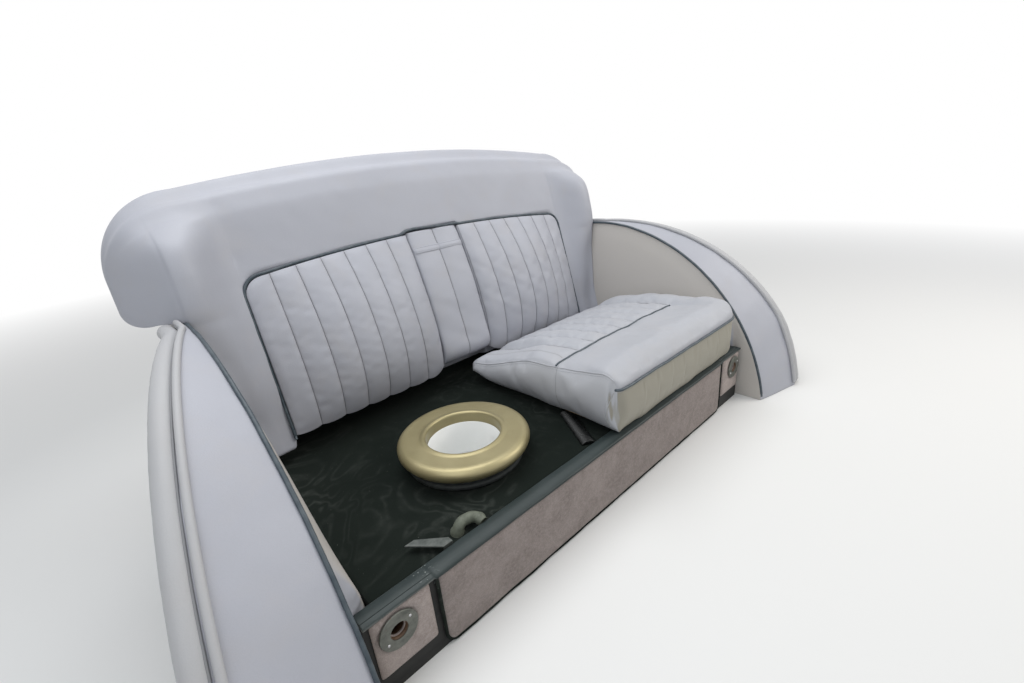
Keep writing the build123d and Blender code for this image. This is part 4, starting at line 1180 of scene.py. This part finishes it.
def round_plan(x, y, box, corners):
    """Bends a rectangle's corners round in plan. Each corner has its own radius."""
    (x0, x1), (y0, y1) = box
    for (sx, sy), radius in corners.items():
        cx = x1 - radius if sx > 0 else x0 + radius
        cy = y1 - radius if sy > 0 else y0 + radius
        dx = np.clip((x - cx) * sx / radius, 0, 1)
        dy = np.clip((y - cy) * sy / radius, 0, 1)
        inside = (dx > 0) & (dy > 0)
        x = np.where(inside, cx + sx * radius * dx * np.sqrt(1 - dy ** 2 / 2), x)
        y = np.where(inside, cy + sy * radius * dy * np.sqrt(1 - dx ** 2 / 2), y)
    return x, y


CREASES = SQUAB_IN + np.arange(FLUTES + 1) * PITCH_X
REST_HOLLOW = np.array([[0.03, 0.06, 0.08, 0.10, 0.12, 0.15, 0.18, 0.21, 0.25, 0.29],
                        [0.0, 7.0, 12.0, 15.0, 16.3, 15.8, 13.6, 10.2, 4.8, 0.0]])


def armrest_hollow(x, y):
    """How far the seat is hollowed beside its inner edge, where the folded armrest lies over it."""
    return 0.001 * np.interp(-y, REST_HOLLOW[0], REST_HOLLOW[1]) * smooth_step((0.124 - x) / 0.032)


def cushion_piece():
    """Loose half cushion: fluted seat, smooth border and front roll, boxed sides."""
    edges = np.concatenate([[CUSHION_X[0]], CREASES, [CUSHION_X[1]]])
    shares, shape = [], []
    for i, (x0, x1) in enumerate(zip(edges[:-1], edges[1:])):
        shares.append(x0 + (x1 - x0) * FLUTE_COLUMNS)
        kind = FLUTE_SHAPE.copy()
        if i == 0:
            kind[:6] = 1 - 0.25 * (1 - FLUTE_COLUMNS[:6] / 0.4) ** 2
        if i == len(edges) - 2:
            kind = 0.55 * (1 - (1 - FLUTE_COLUMNS / 0.12).clip(0, 1) ** 2)
        shape.append(kind)
    across = np.concatenate(shares + [[CUSHION_X[1]]])
    shape = np.concatenate(shape + [[0.4]])
    curve = cushion_top_curve()
    y, z_top = curve[:, 0], curve[:, 1]
    v = np.array([0, 0.03, 0.10, 0.22, 0.38, 0.55, 0.72, 0.86, 0.95, 1.0])[None, None, :]
    middle = (CUSHION_X[0] + CUSHION_X[1]) / 2
    half = (CUSHION_X[1] - CUSHION_X[0]) / 2
    u = (across - middle) / half
    seat = smooth_step((y - SEAM_Y) / 0.022) * smooth_step((-0.030 - y) / 0.03)
    lengthwise = smooth_step((-0.03 - y) / 0.08) * smooth_step((y - FRONT_Y) / 0.03)
    dome = 0.008 * (1 - np.abs(u[:, None]) ** 3) * lengthwise[None, :]
    puff = 0.0085 * (shape[:, None] - 0.35) * seat[None, :]
    valley = -0.004 * np.exp(-((y - SEAM_Y) / 0.007) ** 2)[None, :] * (across[:, None] < 0.565)
    inward = np.clip((half - np.abs(across - middle)) / 0.030, 0, 1)[:, None]
    round_edge = 0.017 * (1 - np.sqrt(1 - (1 - inward) ** 2))
    near = np.clip((across - CUSHION_X[0]) / 0.012, 0, 1)[:, None]
    near_edge = 0.007 * (1 - np.sqrt(1 - (1 - near) ** 2))
    round_edge = np.where(across[:, None] < middle, near_edge, round_edge)
    border = smooth_step((across[:, None] - 0.552) / 0.040)
    border = border * smooth_step((-0.03 - y) / 0.12) * smooth_step((y + 0.572) / 0.11)
    z = z_top[None, :] + dome + puff + valley - round_edge + 0.021 * border
    x3 = across[:, None, None] + 0 * (z[..., None] * v)
    y3 = y[None, :, None] + 0 * x3
    uneven = 0.5 + 0.5 * ripples(np.stack([x3, y3, 0 * x3], -1), 0.13, 52)
    base = CUSHION_BASE + 0.007 * smooth_step((-0.15 - y3) / 0.1) * uneven
    base = base + 0.020 * (1 - smooth_step((CUSHION_REAR[0] - y3) / 0.11)) * (y3 > -0.2)
    height = base + np.maximum(z[..., None] - base, 0.004) * v
    bulge = np.sin(np.pi * v ** 0.85) ** 0.8
    tuck = (1 - v) ** 3
    side_end = np.sign(u)[:, None, None] * (np.abs(u) > 0.9999)[:, None, None]
    x3 = x3 + side_end * np.where(side_end < 0, 0.013, 0.009) * bulge
    beside = np.clip(1 - (half - np.abs(across - middle)) / 0.05, 0, 1)[:, None, None]
    x3 = x3 - np.sign(u)[:, None, None] * 0.018 * tuck * beside
    folds = ripples(np.stack([0 * x3, 0.35 * y3, 1.5 * height], -1), 0.055, 57)
    x3 = x3 + (side_end < 0) * 0.0022 * folds * bulge * smooth_step((-0.36 - y3) / 0.12)
    front = (np.arange(len(y)) == len(y) - 1)[None, :, None]
    rear = (np.arange(len(y)) == 0)[None, :, None]
    y3 = y3 + 0.010 * tuck * np.clip(1 - (y3 - y[-1]) / 0.04, 0, 1) - front * 0.007 * bulge
    y3 = y3 + rear * 0.002 * bulge
    corners = {(-1, -1): CORNER_NEAR, (1, -1): CORNER_FAR, (-1, 1): 0.020, (1, 1): 0.020}
    x3, y3 = round_plan(x3, y3, (CUSHION_X, (FRONT_Y, CUSHION_REAR[0])), corners)
    lattice = np.stack([x3, y3, height], -1)
    lattice[..., 2] += 0.0018 * ripples(lattice, 0.10, 51) * v
    obj = shell("cushion_cover", lattice)
    p = points_of(obj)
    near_crease = np.min(np.abs(p[:, :1] - CREASES), 1) < 0.0012
    pinned = near_crease & (p[:, 1] > SEAM_Y)
    pinned |= np.abs(p[:, 1] - SEAM_Y) < 0.004
    pinned |= p[:, 2] < CUSHION_BASE + 0.010
    pinned |= (np.abs(p[:, 1] - FRONT_Y) < 0.004) & (p[:, 2] > 0.29)
    swell(obj, pinned, 3.0, 0.005, slack=0.012, stiff=2.0)
    p = points_of(obj)
    level = np.interp(-p[:, 1], -y, z_top)
    share = np.clip((p[:, 2] - CUSHION_BASE) / np.maximum(level - CUSHION_BASE, 0.02), 0, 1)
    p[:, 2] -= armrest_hollow(p[:, 0], p[:, 1]) * share
    set_points(obj, p)
    subdivide(obj)
    fit(obj, "cushion", "leather", CUSHION_LEATHER, "cushion_pad", fill=0.7)
    cushion_trim(obj)


def cast_on(obj, points, direction, lift):
    """Puts points on the surface of a piece, by a ray from each along a direction."""
    out = []
    for p in points:
        hit, place, normal, _ = obj.ray_cast(Vector(p), Vector(direction))
        if hit:
            out.append(np.array(place) + lift * np.array(normal))
    return np.array(out)


def cushion_trim(cover):
    """Dark piping at the flutes' end and along the front edge, and self-coloured seams at the side."""
    x = np.linspace(CUSHION_X[0] + 0.004, SQUAB_HALF, 70)
    above = np.stack([x, np.full_like(x, SEAM_Y), np.full_like(x, 1.0)], -1)
    path = cast_on(cover, above, (0, 0, -1), 0.0010)
    fit(tube("insert_piping", path, 0.0030, 10), "cushion", "piping", PIPING_M)
    low, high = CUSHION_X[0] + CORNER_NEAR, CUSHION_X[1] - CORNER_FAR
    level = CUSHION_TOP[-1][1] - 0.001
    corner = np.linspace(0.5, math.pi / 2, 7)
    left = np.stack([low - CORNER_NEAR * np.cos(corner), FRONT_Y + CORNER_NEAR * (1 - np.sin(corner))], -1)
    middle = np.stack([np.linspace(low, high, 60)[1:-1], np.full(58, FRONT_Y)], -1)
    corner = np.linspace(math.pi / 2, 0.35, 9)
    right = np.stack([high + CORNER_FAR * np.cos(corner), FRONT_Y + CORNER_FAR * (1 - np.sin(corner))], -1)
    line = np.concatenate([left, middle, right])
    path = np.concatenate([line, np.full((len(line), 1), level)], 1)
    path += 0.0010 * ripples(path, 0.12, 8)[:, None]
    path[:, 1] -= 0.002
    fit(tube("front_piping", path, 0.0036, 10), "cushion", "piping", PIPING_M)
    curve = cushion_top_curve()
    y = np.linspace(-0.040, FRONT_Y + 0.012, 90)
    z = np.interp(-y, -curve[:, 0], curve[:, 1]) - 0.0065 - armrest_hollow(CUSHION_X[0], y)
    beside = np.full_like(y, -0.2)
    along = np.stack([beside, y, z], -1)
    path = cast_on(cover, along, (1, 0, 0), 0.0004)
    fit(tube("side_welt", path, 0.0014, 8), "cushion", "leather", CUSHION_LEATHER)
    t = np.linspace(0, 1, 24)
    bent = FRONT_Y + 0.012 + 0.016 * np.sin(t * 1.9)
    down = np.stack([beside[:24], bent, mix(level - 0.004, 0.196, t)], -1)
    path = cast_on(cover, down, (1, 0, 0), 0.0003)
    fit(tube("corner_welt", path, 0.0012, 8), "cushion", "leather", CUSHION_LEATHER)
    stitches = []
    for seam, shift in ((down, (0, 0.006, 0)), (along, (0, 0, -0.006))):
        for p, q in zip(seam[:-1], seam[1:]):
            ends = np.array([mix(p, q, 0.2), mix(p, q, 0.75)]) + shift
            on = cast_on(cover, ends, (1, 0, 0), 0.0002)
            if len(on) == 2:
                stitches.append(on)
    fit(join_tubes("cushion_stitches", stitches, 0.0005, 5), "cushion", "leather", CUSHION_LEATHER)


def ring_pieces():
    """Gold ring, rubber gasket and white bowl."""
    low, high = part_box("commode_ring")
    centre = middle_of("commode_ring")[:2]
    radius = (high.x - low.x) / 2
    base, lip = low.z, high.z
    top = lip - 0.0025
    hole = 0.0887
    outer = [(hole + 0.002, base), (radius - 0.010, base)]
    outer += arc(radius - 0.016, top - 0.016, 0.016, -1.15, math.pi / 2, 18)
    flat = np.linspace(radius - 0.018, hole + 0.018, 10)
    outer += [(r, top - 0.0007 * math.sin(math.pi * (r - hole) / (radius - hole)) + 0.0007) for r in flat]
    outer += [(hole + 0.015, top + 0.0002), (hole + 0.012, top + 0.0014), (hole + 0.009, top + 0.0024)]
    outer += arc(hole + 0.006, lip - 0.006, 0.006, math.pi / 2, math.pi, 8)
    outer += [(hole, base + 0.010), (hole + 0.001, base + 0.002)]
    fit(lathe("ring_turned", outer, centre, 160), "base", "gold", GOLD, "commode_ring")
    low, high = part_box("commode_gasket")
    r, inner, mid = 0.139, 0.0967, (low.z + high.z) / 2
    outline = [
        (inner, low.z), (r - 0.006, low.z), (r - 0.001, low.z + 0.004), (r - 0.0005, mid - 0.003),
        (r - 0.005, mid), (r - 0.0005, mid + 0.003), (r - 0.001, high.z - 0.003), (r - 0.004, high.z),
        (inner, high.z),
    ]
    fit(lathe("gasket_ring", outline, centre), "base", "rubber", RUBBER, "commode_gasket")
    low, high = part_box("commode_bowl")
    flange, wall, rim = 0.127, 0.0025, high.z
    bottom = rim - wall - 0.105
    radius, bend, round_r = 0.110, rim - wall - 0.045, 0.058
    inner_r = radius - wall
    collar_top, collar = 0.207, 0.0874
    neck = rim - 0.055
    inner = arc(radius - round_r, bend, round_r - wall, -math.pi / 2, 0, 12)
    outline = [
        (0.0165, bottom + wall), (0.020, bottom + wall), *[q for q in inner if q[1] < neck - 0.016],
        (inner_r - 0.001, neck - 0.012), (inner_r - 0.006, neck - 0.006), (collar + 0.003, neck + 0.001),
        (collar - 0.0005, neck + 0.008), (collar - 0.001, rim), (collar - 0.001, collar_top - 0.001),
        (collar, collar_top), (collar + 0.001, collar_top - 0.001), (collar + 0.001, rim + 0.002),
        (0.100, rim), (flange - 0.001, rim), (flange, rim - wall / 2), (flange - 0.001, rim - wall),
        (radius, rim - wall), *arc(radius - round_r, bend, round_r, -math.pi / 2, 0, 12)[::-1],
        (0.019, bottom), (0.019, low.z), (0.0165, low.z),
    ]
    fit(lathe("bowl_pressed", outline, centre), "base", "bowl_white", WHITE, "commode_bowl")


FELT_HOLE = 0.118               # radius
UPSTAND_TOP = 0.229


def felt_piece():
    """Felt on the deck, a little uneven, with the commode's hole."""
    low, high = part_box("deck_felt")
    cx, cy, _ = middle_of("commode_ring")
    x = np.linspace(low.x + 0.0005, high.x - 0.0005, 130)
    y = np.linspace(low.y + 0.0005, high.y - 0.004, 66)
    gx, gy = np.meshgrid(x, y, indexing="ij")
    top = np.stack([gx, gy, np.full_like(gx, high.z - 0.0006)], -1)
    wave = 0.0013 * ripples(top, 0.23, 61) - 0.0009
    edge = np.minimum.reduce([gx - x[0], x[-1] - gx, gy - y[0]])
    top[..., 2] += np.where(edge > 0.02, wave, -0.0004)
    bottom = top.copy()
    bottom[..., 2] = low.z + 0.0003
    kept = np.hypot(gx - cx, gy - cy) > FELT_HOLE
    points = np.concatenate([top.reshape(-1, 3), bottom.reshape(-1, 3)])
    size = gx.size
    index = np.arange(size).reshape(gx.shape)
    cell = kept[:-1, :-1] & kept[1:, :-1] & kept[1:, 1:] & kept[:-1, 1:]
    faces, count = [], {}
    for i, j in zip(*np.nonzero(cell)):
        quad = [index[i, j], index[i + 1, j], index[i + 1, j + 1], index[i, j + 1]]
        faces += [[int(q) for q in quad], [int(q) + size for q in quad[::-1]]]
        for a, b in zip(quad, quad[1:] + quad[:1]):
            key = (min(a, b), max(a, b))
            count[key] = None if key in count else (int(a), int(b))
    for pair in count.values():
        if pair:
            a, b = pair
            faces.append([b, a, a + size, b + size])
    obj = make_piece("deck_felt_sheet", points, faces)
    work = bmesh.new()
    work.from_mesh(obj.data)
    loose = [v for v in work.verts if not v.link_faces]
    bmesh.ops.delete(work, geom=loose, context="VERTS")
    work.to_mesh(obj.data)
    work.free()
    fit(obj, "base", "felt", FELT, "deck_felt")


def shade_felt_upstand():
    """Black felt turned up behind the squabs' feet, at the rear of the deck, that also stands as painted
    shade for the deep shadow there.
    """
    low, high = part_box("deck_felt")
    x = np.linspace(low.x + 0.003, high.x - 0.003, 90)
    z = np.linspace(high.z - 0.003, UPSTAND_TOP, 12)
    gx, gz = np.meshgrid(x, z, indexing="ij")
    wave = 0.0016 * ripples(np.stack([gx, 0 * gx, gz], -1), 0.15, 66)
    rear = high.y - 0.010 + wave
    lattice = np.stack([np.stack([gx, rear - depth, gz], -1) for depth in (0, 0.0025, 0.005)], 2)
    fit(shell("shade_felt_upstand", lattice), "base", "felt", FELT)


def strap_piece():
    """Glossy cross-ribbed rubber strap, from under the cushion to the rail."""
    start, end = np.array((0.020, -0.388)), np.array((-0.0585, -0.5265))
    length = np.linalg.norm(end - start)
    ahead = (end - start) / length
    beside = np.array((-ahead[1], ahead[0]))
    pitch, half = 0.0062, 0.0188
    t = np.linspace(0, length, 200)
    w = np.concatenate([[-1], np.linspace(-0.96, 0.96, 15), [1]])
    gt, gw = np.meshgrid(t, w, indexing="ij")
    rib = np.abs(np.sin(math.pi * (gt / pitch + 0.55 * np.abs(gw))))
    round_top = (1 - np.abs(gw) ** 3) ** 0.7
    top = DECK + 0.0006 + round_top * (0.0050 + 0.0040 * rib ** 0.7)
    width = half * (1 - 0.035 * (1 - rib))
    spot = start + gt[..., None] * ahead + (gw * width)[..., None] * beside
    bottom = np.full_like(top, DECK + 0.0001)
    lattice = np.stack([np.dstack([spot, z]) for z in (bottom, (bottom + top) / 2, top)], 2)
    fit(shell("strap_ribs", lattice), "base", "rubber", STRAP, "ribbed_strap")


def elbow_piece():
    """Drain pipe that comes up through the deck, and turns over and down behind the rail."""
    rise = np.array([(-0.4500, -0.5150, z) for z in (0.1640, 0.1655, 0.1670)])
    turn = np.linspace(math.pi, math.pi / 2, 10)[1:]
    x, y = -0.4350 + 0.015 * np.cos(turn), -0.5150 - 0.002 * np.cos(turn - math.pi)
    over = np.stack([x, y, 0.167 + 0.015 * np.sin(turn)], -1)
    away = np.linspace(0, math.pi / 2, 12)[1:]
    x, y = -0.4210 + 0.017 * np.sin(away), -0.5340 + 0.017 * np.cos(away)
    end = np.stack([x, y, 0.182 - 0.005 * away], -1)
    path = np.concatenate([rise, over, end])
    radius = np.full(len(path), 0.0112)
    radius[:4] = 0.0148, 0.0148, 0.0142, 0.0126
    radius[-4:] = 0.0124
    obj = tube("elbow_pipe", path, radius, 24)
    subdivide(obj)
    fit(obj, "base", "drain_plastic", DRAIN, "drain_elbow")


SCREW_PLACE = 0.0265            # from a vent's middle
CARPET_CELL = (0.0085, 0.0065)
CARPET_CORNER = 0.025
CARPET_PAST = 0.004             # how far the long carpet runs past the CAD one's ends
VENT_HOLE = 0.0158              # radius in the carpet
VENT_PRESS = 0.034              # radius of the carpet that a vent disc presses down


def along_y(obj, x, z):
    """Turns a piece of lathe() from an upright axis to one along Y through x and z."""
    p = points_of(obj)
    set_points(obj, np.stack([x + p[:, 0], p[:, 2], z - p[:, 1]], -1))
    return obj


def vent_fittings():
    """Rusty sleeve inside each vent disc, and its two small screws."""
    for side in SIDES.values():
        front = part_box("vent_disc_" + side)[0].y
        cx, _, cz = middle_of("vent_disc_" + side)
        sleeve = [(0.0150, 0.002), (0.0163, 0.001), (0.0163, 0.032), (0.0150, 0.032)]
        obj = lathe("vent_sleeve_" + side, [(r, front + y) for r, y in sleeve], (0, 0), 48)
        fit(along_y(obj, cx, cz), "base", "bare_metal", RUST)
        head = [(0.0003, -0.0016), (0.0014, -0.0014), (0.0026, -0.0006), (0.0030, 0.0004), (0.0003, 0.0004)]
        for number, turn in enumerate((math.radians(32), math.radians(212))):
            x, z = cx + SCREW_PLACE * math.cos(turn), cz + SCREW_PLACE * math.sin(turn)
            obj = lathe(f"vent_screw_{side}_{number}", [(r, front + y) for r, y in head], (0, 0), 20)
            fit(along_y(obj, x, z), "base", "pin_steel", BRIGHT)


def bore(obj, x, z, radius):
    """Cuts a round hole through a piece, along Y."""
    y = points_of(obj)[:, 1]
    cutter = tube("cutter", [(x, y.min() - 0.01, z), (x, y.max() + 0.01, z)], radius, 40)
    modifier = obj.modifiers.new("Bore", "BOOLEAN")
    modifier.operation = "DIFFERENCE"
    modifier.object = cutter
    apply_modifiers(obj)
    discard(cutter)


def carpet_binding():
    """Dark tape round the ends and the foot of the heel carpet."""
    low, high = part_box("heel_carpet")
    corner, inset = CARPET_CORNER, 0.0015
    x = high.x + CARPET_PAST
    t = np.linspace(0, math.pi / 2, 10)
    up = np.stack([np.full(24, x), np.linspace(RAIL_LIP - 0.003, low.z + corner, 24)], -1)
    turn = np.stack([x - corner * (1 - np.cos(t)), low.z + corner * (1 - np.sin(t))], -1)[1:]
    foot = np.stack([np.linspace(x - corner, 0, 60)[1:], np.full(59, low.z)], -1)
    half = np.concatenate([up, turn, foot])
    line = np.concatenate([half, half[::-1][1:] * np.array([-1, 1])])
    path = np.stack([line[:, 0], np.full(len(line), low.y + 0.0032), line[:, 1] + inset], -1)
    path += 0.0005 * ripples(path, 0.06, 78)[:, None]
    fit(tube("heel_binding", path, 0.0034, 10), "base", "felt", FELT)


def carpet_piece(name, node, low, high, material, corner=0.0, hole=None, seed=70):
    """Carpet on the heelboard: short pile and soft rounded edges. A hole is given by its middle."""
    x = np.linspace(low.x, high.x, max(12, int((high.x - low.x) / CARPET_CELL[0])))
    z = np.linspace(low.z, high.z, max(12, int((high.z - low.z) / CARPET_CELL[1])))
    gx, gz = np.meshgrid(x, z, indexing="ij")
    tall = high.z - low.z
    if corner:
        for sign, centre in ((-1, low.x + corner), (1, high.x - corner)):
            reach = np.clip((gx - centre) * sign, 0, corner)
            lift = corner - np.sqrt(corner ** 2 - reach ** 2)
            gz = np.where(reach > 0, low.z + lift + (gz - low.z) * (tall - lift) / tall, gz)
    edge = np.minimum.reduce([gx - low.x, high.x - gx, gz - low.z, high.z - gz])
    rounding = np.sqrt(np.clip(edge / 0.006, 0, 1))
    depth = (high.y - low.y) * (0.55 + 0.45 * rounding)
    pile = np.stack([gx, 0 * gx, gz], -1)
    rough = 0.0008 * ripples(pile, 0.018, seed, 2) + 0.0006 * ripples(pile, 0.12, seed + 1)
    depth = depth + rough * rounding
    if hole:
        away = np.hypot(gx - hole[0], gz - hole[1])
        depth = depth * (0.45 + 0.55 * np.clip((away - VENT_PRESS) / 0.006, 0, 1))
    y = high.y - depth[..., None] * np.array([0.0, 0.5, 1.0])
    obj = shell(name, np.stack([gx[..., None] + 0 * y, y, gz[..., None] + 0 * y], -1))
    subdivide(obj)
    if hole:
        bore(obj, *hole, VENT_HOLE)
    fit(obj, "base", "carpet", material, node)


def carpets():
    low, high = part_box("heel_carpet")
    low = Vector((low.x - CARPET_PAST, low.y, low.z))
    high = Vector((high.x + CARPET_PAST, high.y, RAIL_LIP - 0.0006))
    carpet_piece("heel_carpet_pile", "heel_carpet", low, high, CARPET, corner=CARPET_CORNER)
    carpet_binding()
    for side in SIDES.values():
        low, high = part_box("end_carpet_" + side)
        hole = middle_of("vent_disc_" + side)[::2]
        name = "end_carpet_pile_" + side
        carpet_piece(name, "end_carpet_" + side, low, high, END_CARPET_PAINTED_LIGHT, hole=hole, seed=80)


def rail_piece():
    """Vinyl-wrapped rail: a crowned top and a thin front lip over the carpet, lower at its ends."""
    low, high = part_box("front_rail")
    end, step = RAIL_HALF, RAIL_STEP
    outer = np.concatenate([np.linspace(step + 0.006, end - 0.006, 14), [end - 0.002, end]])
    half = np.concatenate([np.linspace(0.005, step - 0.006, 60), [step - 0.0006, step + 0.0006], outer])
    x = np.concatenate([-half[::-1], half])
    nose, rear_nose, lip = 0.0045, 0.005, RAIL_LIP
    y = np.linspace(high.y - rear_nose, low.y + nose, 15)
    crown = high.z - 0.0028 * ((y - (low.y + 0.018)) / 0.021) ** 2
    outline = [
        (high.y, low.z), (high.y, 0.166),
        *arc(high.y - rear_nose, crown[0] - rear_nose, rear_nose, 0, math.pi / 2, 6)[:-1], *zip(y, crown),
        *arc(low.y + nose, crown[-1] - nose, nose, math.pi / 2, math.pi * 1.15, 9)[1:],
        (low.y + 0.004, lip), (low.y + 0.0105, lip), (low.y + 0.0105, low.z),
        (mix(low.y, high.y, 0.5), low.z),
    ]
    outline = np.array(outline)
    points = np.stack(np.broadcast_arrays(x[:, None], outline[:, 0], outline[:, 1]), -1)
    ends = (np.abs(x) > step)[:, None]
    front, over = points[..., 1] < RAIL_CREST_Y, points[..., 2] > lip
    points[..., 2] = np.where(ends & front & ~over, high.z - 0.010, points[..., 2])
    points[..., 2] = np.where(ends & over, lip + (points[..., 2] - lip) * 0.80, points[..., 2])
    points[..., 1] += 0.0030 * (ends & (points[..., 1] < low.y + 0.012))
    points[..., 2] += over * (0.0006 * ripples(points, 0.10, 91) - 0.0004)
    index = np.arange(points.shape[0] * points.shape[1]).reshape(points.shape[:2])
    wrapped = np.hstack([index, index[:, :1]])
    faces = grid_quads(wrapped) + [index[0].tolist(), index[-1].tolist()[::-1]]
    obj = make_piece("rail_wrap", points, faces, merge=1e-6)
    fit(obj, "base", "rail_vinyl", VINYL, "front_rail")


def dress_nodes():
    """Finishes for the CAD pieces whose shape is right as it is."""
    for material, names in (
        # painted shade: the heelboard is black for the dark gaps between the carpets; the other boards
        # share it
        (SHADE_BLACK_PLY, ("side_board_left", "side_board_right", "deck_panel", "heelboard")),
        (PLYWOOD, ("back_board", "cushion_board")),
        (ASH, ("front_bearer", "rear_bearer", "deck_joists", "back_post_left", "back_post_right")),
        (METAL, ("vent_disc_left", "vent_disc_right")),
        (LEVER_METAL, ("deck_lever",)),
        (STEEL, ("armrest_bracket_left", "armrest_bracket_right")),
        (BRIGHT, ("armrest_pin", "armrest_tube")),
    ):
        for name in names:
            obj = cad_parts[name]
            obj.data.materials.clear()
            obj.data.materials.append(material)


bpy.context.scene.view_settings.view_transform = "Standard"
place_camera()
place_lights()
place_floor()
dress_nodes()
back_piece()
for side in SIDES:
    squab_piece(side)
    arch_piece(side)
squab_piping_piece()
armrest_piece()
armrest_band_piece()
cushion_piece()
ring_pieces()
felt_piece()
shade_felt_upstand()
strap_piece()
elbow_piece()
vent_fittings()
carpets()
rail_piece()
